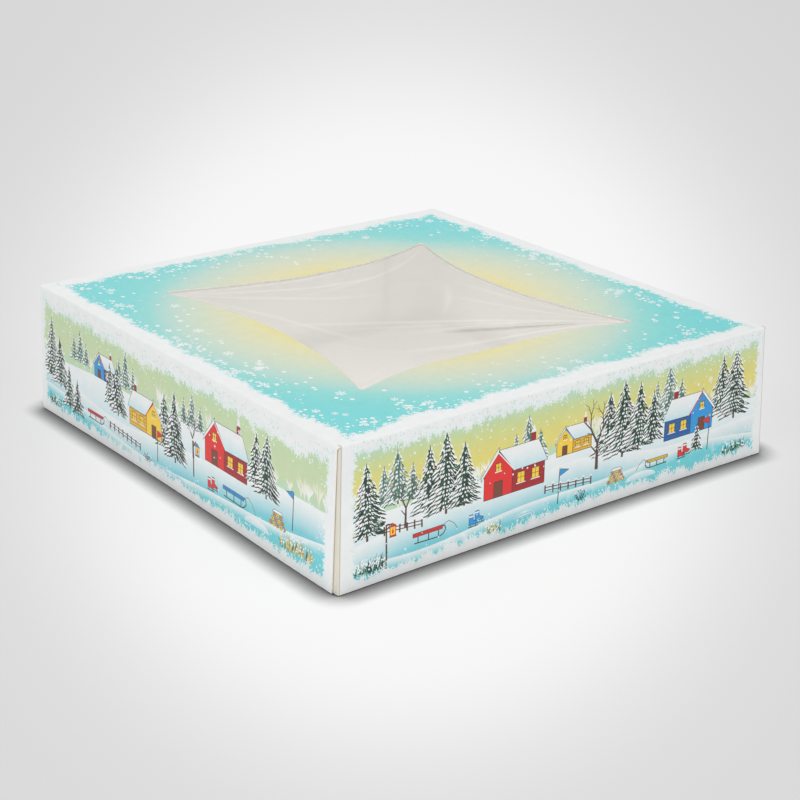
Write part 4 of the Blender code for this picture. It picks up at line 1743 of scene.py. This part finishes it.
def film_sheet():
    """The film hangs just under the panel at the window's edge, and under the glue further out."""
    film = settings().film
    free, veiled, glued = 0.014, 0.003, 0.0035  # metres from the window's edge
    gap, glue_depth, ripple_height = 0.00004, 0.00030, 0.00012
    reach = (FILM_HIGH.x - FILM_LOW.x) / 2
    half = film.chord / 2
    edge = window_outline(0.0, 300, 24)
    tree = kdtree.KDTree(len(edge))
    for index, (x, y) in enumerate(edge):
        tree.insert((x, y, 0.0), index)
    tree.balance()
    sheet = bmesh.new()
    bmesh.ops.create_grid(sheet, x_segments=film.steps, y_segments=film.steps, size=reach)
    stretch = sheet.verts.layers.float.new(PAINTED_STREAKS)
    spots = numpy.array([vert.co.to_tuple()[:2] for vert in sheet.verts])
    inside = encloses(numpy.array(edge), spots)
    bends = ridges(spots, WRINKLES, half) * MM
    # Painted light streaks, which stand in for reflections off the wrinkles
    lines = numpy.minimum(1.0, ridges(spots, PAINTED_STREAK_LINES, half))
    for vert, within, bend, line in zip(sheet.verts, inside, bends, lines):
        x, y = vert.co.x, vert.co.y
        distance = tree.find(vert.co)[2]
        hold = ease(min(1.0, distance / free) if within else 0.0)
        drop = film.sag * max(0.0, 1 - (x / half) ** 2) * max(0.0, 1 - (y / half) ** 2)
        ripple = noise.noise(Vector((x * 34, y * 34, 3.0))) * ripple_height
        under = gap + (0.0 if within else glue_depth * min(1.0, distance / glued))
        vert.co.z = (bend - drop + ripple) * hold - panel_sag(x, y) - under
        vert[stretch] = line * min(1.0, distance / veiled) if within else 0.0
    bmesh.ops.translate(sheet, verts=sheet.verts, vec=CENTRE + UP * (LID_TOP - BOARD))
    return sheet


def film_glue_sheet():
    """The line of glue between the panel and the film."""
    film = settings().film
    outer = [(x / MM, y / MM) for x, y in window_outline(film.glue_inset + film.glue_width)]
    inner = [(x / MM, y / MM) for x, y in window_outline(film.glue_inset)]
    page = Page(outer, inner)
    page.lattice((-100.0, -100.0), (100.0, 100.0), 10.0)
    level = LID_TOP - BOARD - GLUE_GAP
    return page.sheet(lambda x, y: CENTRE + Vector((x, y, level - panel_sag(x, y))))


def hinge_bead():
    """The round crease that the lid turns on, slightly crushed between its ends."""
    half = (REAR_HIGH.x - REAR_LOW.x) / 2
    crush = 0.04
    bead = bmesh.new()
    ring = bmesh.ops.create_circle(bead, segments=20, radius=BOARD / 2, cap_ends=True)
    turn = Matrix.Rotation(math.pi / 2, 4, "Y")
    bmesh.ops.transform(bead, matrix=turn, verts=ring["verts"])
    bmesh.ops.translate(bead, verts=bead.verts, vec=(-half, CENTRE.y + HINGE_Y, HINGE_Z))
    result = bmesh.ops.extrude_face_region(bead, geom=bead.faces[:], use_keep_orig=True)
    moved = [item for item in result["geom"] if isinstance(item, bmesh.types.BMVert)]
    bmesh.ops.translate(bead, verts=moved, vec=(2 * half, 0.0, 0.0))
    lengthwise = [edge for edge in bead.edges if abs(edge.verts[0].co.x - edge.verts[1].co.x) > half]
    bmesh.ops.subdivide_edges(bead, edges=lengthwise, cuts=60)
    for vert in bead.verts:
        if abs(vert.co.x) < half - MM:
            ripple = noise.noise(Vector((vert.co.x * 90, vert.co.y * 900, vert.co.z * 900)))
            offset = Vector((0.0, vert.co.y - CENTRE.y - HINGE_Y, vert.co.z - HINGE_Z))
            vert.co -= offset * crush * (1 + ripple)
    bmesh.ops.recalc_face_normals(bead, faces=bead.faces)
    return bead


# Operators


class PIEBOX_OT_stage(bpy.types.Operator):
    """Sets up the floor, the lamps and the camera"""

    bl_idname = "pie_box.stage"
    bl_label = "Stage"

    def execute(self, context):
        stage = settings().stage
        self.floor(stage)
        self.world(stage)
        self.lamp("key_lamp", stage.key, 1.1, (-1.5, -0.35, 1.0))
        self.lamp("fill_lamp", stage.fill, 1.2, (0.35, -1.5, 1.0))
        self.lamp("back_lamp", stage.back, 1.4, (0.7, 1.3, 0.9))
        self.camera(stage)
        context.scene.view_settings.view_transform = "Standard"
        return {"FINISHED"}

    def floor(self, stage):
        """A wide floor with a painted pool of light in its colour, part lit and part seen as it is written.
        """
        shape = bmesh.new()
        bmesh.ops.create_grid(shape, x_segments=1, y_segments=1, size=6.0)
        finish = Finish("studio_floor")
        level = self.contact_shadow(finish, self.pool(finish, stage), stage)
        diffuse = finish.add("ShaderNodeBsdfDiffuse", {"Color": level}).outputs[0]
        glow = finish.add("ShaderNodeEmission", {"Color": level, "Strength": 1.0}).outputs[0]
        share = finish.calc("MULTIPLY", seen_rays(finish.nodes, finish.links), 0.75)
        blend = finish.add("ShaderNodeMixShader", {0: share, 1: diffuse, 2: glow}).outputs[0]
        finish.nodes.remove(finish.shader)
        output = next(node for node in finish.nodes if node.type == "OUTPUT_MATERIAL")
        finish.links.new(blend, output.inputs["Surface"])
        floor = new_piece("floor", shape, [finish.material])

    def contact_shadow(self, finish, level, stage):
        """Deepens the shadow where the box stands close over the floor."""
        near = finish.add("ShaderNodeAmbientOcclusion", {"Distance": stage.contact}, samples=12)
        return finish.tint(level, finish.calc("POWER", near.outputs["AO"], 2.8))

    def pool(self, finish, stage):
        """A painted pool of light round the box, laid out on the floor to look round from the camera's place.
        """
        ahead = Vector((math.sin(stage.yaw), math.cos(stage.yaw), 0.0))
        aside = ahead.cross(UP)
        foot = Vector((stage.eye[0], stage.eye[1], 0.0))
        height, pitch = stage.eye[2], stage.pitch
        sensor = 36.0

        def measure(direction, factor, offset):
            """The distance along a direction, times a factor, plus an offset."""
            values = {0: finish.position, 1: direction * factor}
            dot = finish.add("ShaderNodeVectorMath", values, operation="DOT_PRODUCT").outputs["Value"]
            return finish.calc("ADD", dot, offset - foot.dot(direction) * factor)

        depth = measure(ahead, math.cos(pitch), height * math.sin(pitch))
        across = measure(aside, 1.0, 0.0)
        up = measure(ahead, math.sin(pitch), -height * math.cos(pitch))
        plane = finish.add("ShaderNodeCombineXYZ", {0: across, 1: up, 2: 0.0}).outputs[0]
        spot = finish.tint(plane, finish.calc("DIVIDE", stage.lens / sensor, depth))
        radius = finish.add("ShaderNodeVectorMath", {0: spot}, operation="LENGTH").outputs["Value"]
        levels = finish.add("ShaderNodeValToRGB", {"Fac": radius})
        colours = levels.color_ramp
        colours.interpolation = "B_SPLINE"
        # Grey levels of the painted pool of light, brightest in its middle
        stops = ((0.28, 251), (0.34, 249), (0.40, 241), (0.46, 232), (0.54, 223), (0.66, 218))
        while len(colours.elements) < len(stops):
            colours.elements.new(0.5)
        for element, (place, level) in zip(colours.elements, stops):
            element.position = place
            element.color = ink(level, level, level)
        return levels.outputs["Color"]

    def world(self, stage):
        """Even white light, behind which the camera sees the backdrop's colour."""
        world = bpy.data.worlds.new("studio")
        world.use_nodes = True
        nodes, links = world.node_tree.nodes, world.node_tree.links
        light = nodes["Background"]
        light.inputs["Color"].default_value = (1.0, 1.0, 1.0, 1.0)
        light.inputs["Strength"].default_value = stage.world
        seen = nodes.new("ShaderNodeBackground")
        seen.inputs["Color"].default_value = tuple(stage.backdrop) + (1.0,)
        blend = nodes.new("ShaderNodeMixShader")
        links.new(seen_rays(nodes, links), blend.inputs[0])
        links.new(light.outputs[0], blend.inputs[1])
        links.new(seen.outputs[0], blend.inputs[2])
        links.new(blend.outputs[0], nodes["World Output"].inputs["Surface"])
        bpy.context.scene.world = world

    def lamp(self, name, power, size, place):
        """A square lamp that faces the middle of the box's foot."""
        data = bpy.data.lights.new(name, "AREA")
        data.energy = power
        data.size = size
        lamp = bpy.data.objects.new(name, data)
        lamp.location = place
        lamp.rotation_euler = (-Vector(place)).to_track_quat("-Z", "Y").to_euler()
        bpy.context.scene.collection.objects.link(lamp)

    def camera(self, stage):
        flat = math.cos(stage.pitch)
        forward = Vector((math.sin(stage.yaw) * flat, math.cos(stage.yaw) * flat, -math.sin(stage.pitch)))
        level = forward.cross(UP).normalized()
        upright = level.cross(forward)
        right = level * math.cos(stage.roll) + upright * math.sin(stage.roll)
        up = right.cross(forward)
        data = bpy.data.cameras.new("camera")
        data.lens = stage.lens
        data.clip_start = 0.01
        camera = bpy.data.objects.new("camera", data)
        turn = Matrix((right, up, -forward)).transposed().to_4x4()
        camera.matrix_world = Matrix.Translation(stage.eye) @ turn
        bpy.context.scene.collection.objects.link(camera)
        bpy.context.scene.camera = camera


class PIEBOX_OT_top(bpy.types.Operator):
    """Builds the lid's printed top with its window"""

    bl_idname = "pie_box.top"
    bl_label = "Lid top"

    def execute(self, context):
        sheet = top_page().sheet(lambda x, y: CENTRE + Vector((x, y, LID_TOP - panel_sag(x, y))))
        piece = board_piece("lid_top_board", sheet)
        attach(piece, "lid")
        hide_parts("window_panel")
        return {"FINISHED"}


class PIEBOX_OT_skirts(bpy.types.Operator):
    """Builds the lid's three printed skirts"""

    bl_idname = "pie_box.skirts"
    bl_label = "Lid skirts"

    def execute(self, context):
        left_hills = (
            swell([(210, 2.4, 40), (90, 1.0, 0)], 35),
            swell([(300, 6.5, -30), (110, 1.2, 30)], 25),
            swell([(420, 8.0, -90), (120, 1.0, 0)], 16),
        )
        right_hills = (
            swell([(180, 2.4, 70)], 33),
            swell([(220, 3.0, 30), (80, 1.0, 0)], 23),
            swell([(250, 2.4, 80)], 12.5),
        )
        front = front_skirt_sheet()
        left = side_skirt_sheet(LEFT, 23, left_motifs, left_hills, 1)
        right = side_skirt_sheet(RIGHT, 31, right_motifs, right_hills, -1)
        boards = (
            ("front_skirt_board", front, ("front_skirt", "lid_tab_left", "lid_tab_right")),
            ("left_skirt_board", left, ("left_skirt",)),
            ("right_skirt_board", right, ("right_skirt",)),
        )
        for name, sheet, nodes in boards:
            piece = board_piece(name, sheet)
            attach(piece, "lid")
            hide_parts(*nodes)
        return {"FINISHED"}


class PIEBOX_OT_film(bpy.types.Operator):
    """Builds the wrinkled window film"""

    bl_idname = "pie_box.film"
    bl_label = "Window film"

    def execute(self, context):
        piece = new_piece("wrinkled_film", film_sheet(), [window_film("clear_film")])
        give_thickness(piece, settings().film.thickness)
        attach(piece, "lid")
        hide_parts("window_film")
        glue = new_piece("film_glue_line", film_glue_sheet(), [dried_glue("film_glue_finish")])
        give_thickness(glue, GLUE_LINE)
        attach(glue, "lid")
        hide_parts("film_glue")
        return {"FINISHED"}


class PIEBOX_OT_tray(bpy.types.Operator):
    """Builds the tray, its printed rear wall and the hinge crease"""

    bl_idname = "pie_box.tray"
    bl_label = "Tray"

    def execute(self, context):
        tray = board_piece("tray_board", tray_sheet(), painted_tray_shade)
        tabs = [f"tray_tab_{end}_{hand}" for end in ("front", "rear") for hand in ("left", "right")]
        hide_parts("bottom_panel", "front_wall", "left_wall", "right_wall", *tabs)
        rear = board_piece("rear_wall_board", rear_wall_sheet(), painted_tray_shade)
        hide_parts("rear_wall")
        bead = new_piece("hinge_crease", hinge_bead(), [coated_board("hinge_crease_coated", False)])
        smooth(bead.data)
        for piece in (tray, rear, bead):
            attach(piece, "tray")
        return {"FINISHED"}


class PIEBOX_OT_glue(bpy.types.Operator):
    """Gives the glue strips their finish"""

    bl_idname = "pie_box.glue"
    bl_label = "Glue"

    def execute(self, context):
        for name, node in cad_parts.items():
            if "glue" in name and name != "film_glue":
                node.data.materials.clear()
                node.data.materials.append(dried_glue(f"{name}_finish"))
        return {"FINISHED"}


class PIEBOX_PT_panel(bpy.types.Panel):
    bl_idname = "PIEBOX_PT_panel"
    bl_label = "Pie Box"
    bl_space_type = "VIEW_3D"
    bl_region_type = "UI"
    bl_category = "Pie Box"

    def draw(self, context):
        for operator in OPERATORS:
            self.layout.operator(operator.bl_idname)
        groups = context.scene.pie_box
        for group in (groups.board, groups.film, groups.stage):
            box = self.layout.box()
            for key in group.bl_rna.properties.keys():
                if key not in {"rna_type", "name"}:
                    box.prop(group, key)


OPERATORS = (
    PIEBOX_OT_stage,
    PIEBOX_OT_top,
    PIEBOX_OT_skirts,
    PIEBOX_OT_film,
    PIEBOX_OT_tray,
    PIEBOX_OT_glue,
)
CLASSES = (BoardSettings, FilmSettings, StageSettings, PieBoxSettings) + OPERATORS + (PIEBOX_PT_panel,)


def register():
    for cls in CLASSES:
        bpy.utils.register_class(cls)
    bpy.types.Scene.pie_box = PointerProperty(type=PieBoxSettings)


def unregister():
    del bpy.types.Scene.pie_box
    for cls in reversed(CLASSES):
        bpy.utils.unregister_class(cls)


def main():
    register()
    bpy.ops.pie_box.stage()
    bpy.ops.pie_box.top()
    bpy.ops.pie_box.skirts()
    bpy.ops.pie_box.film()
    bpy.ops.pie_box.tray()
    bpy.ops.pie_box.glue()


if __name__ == "__main__":
    main()
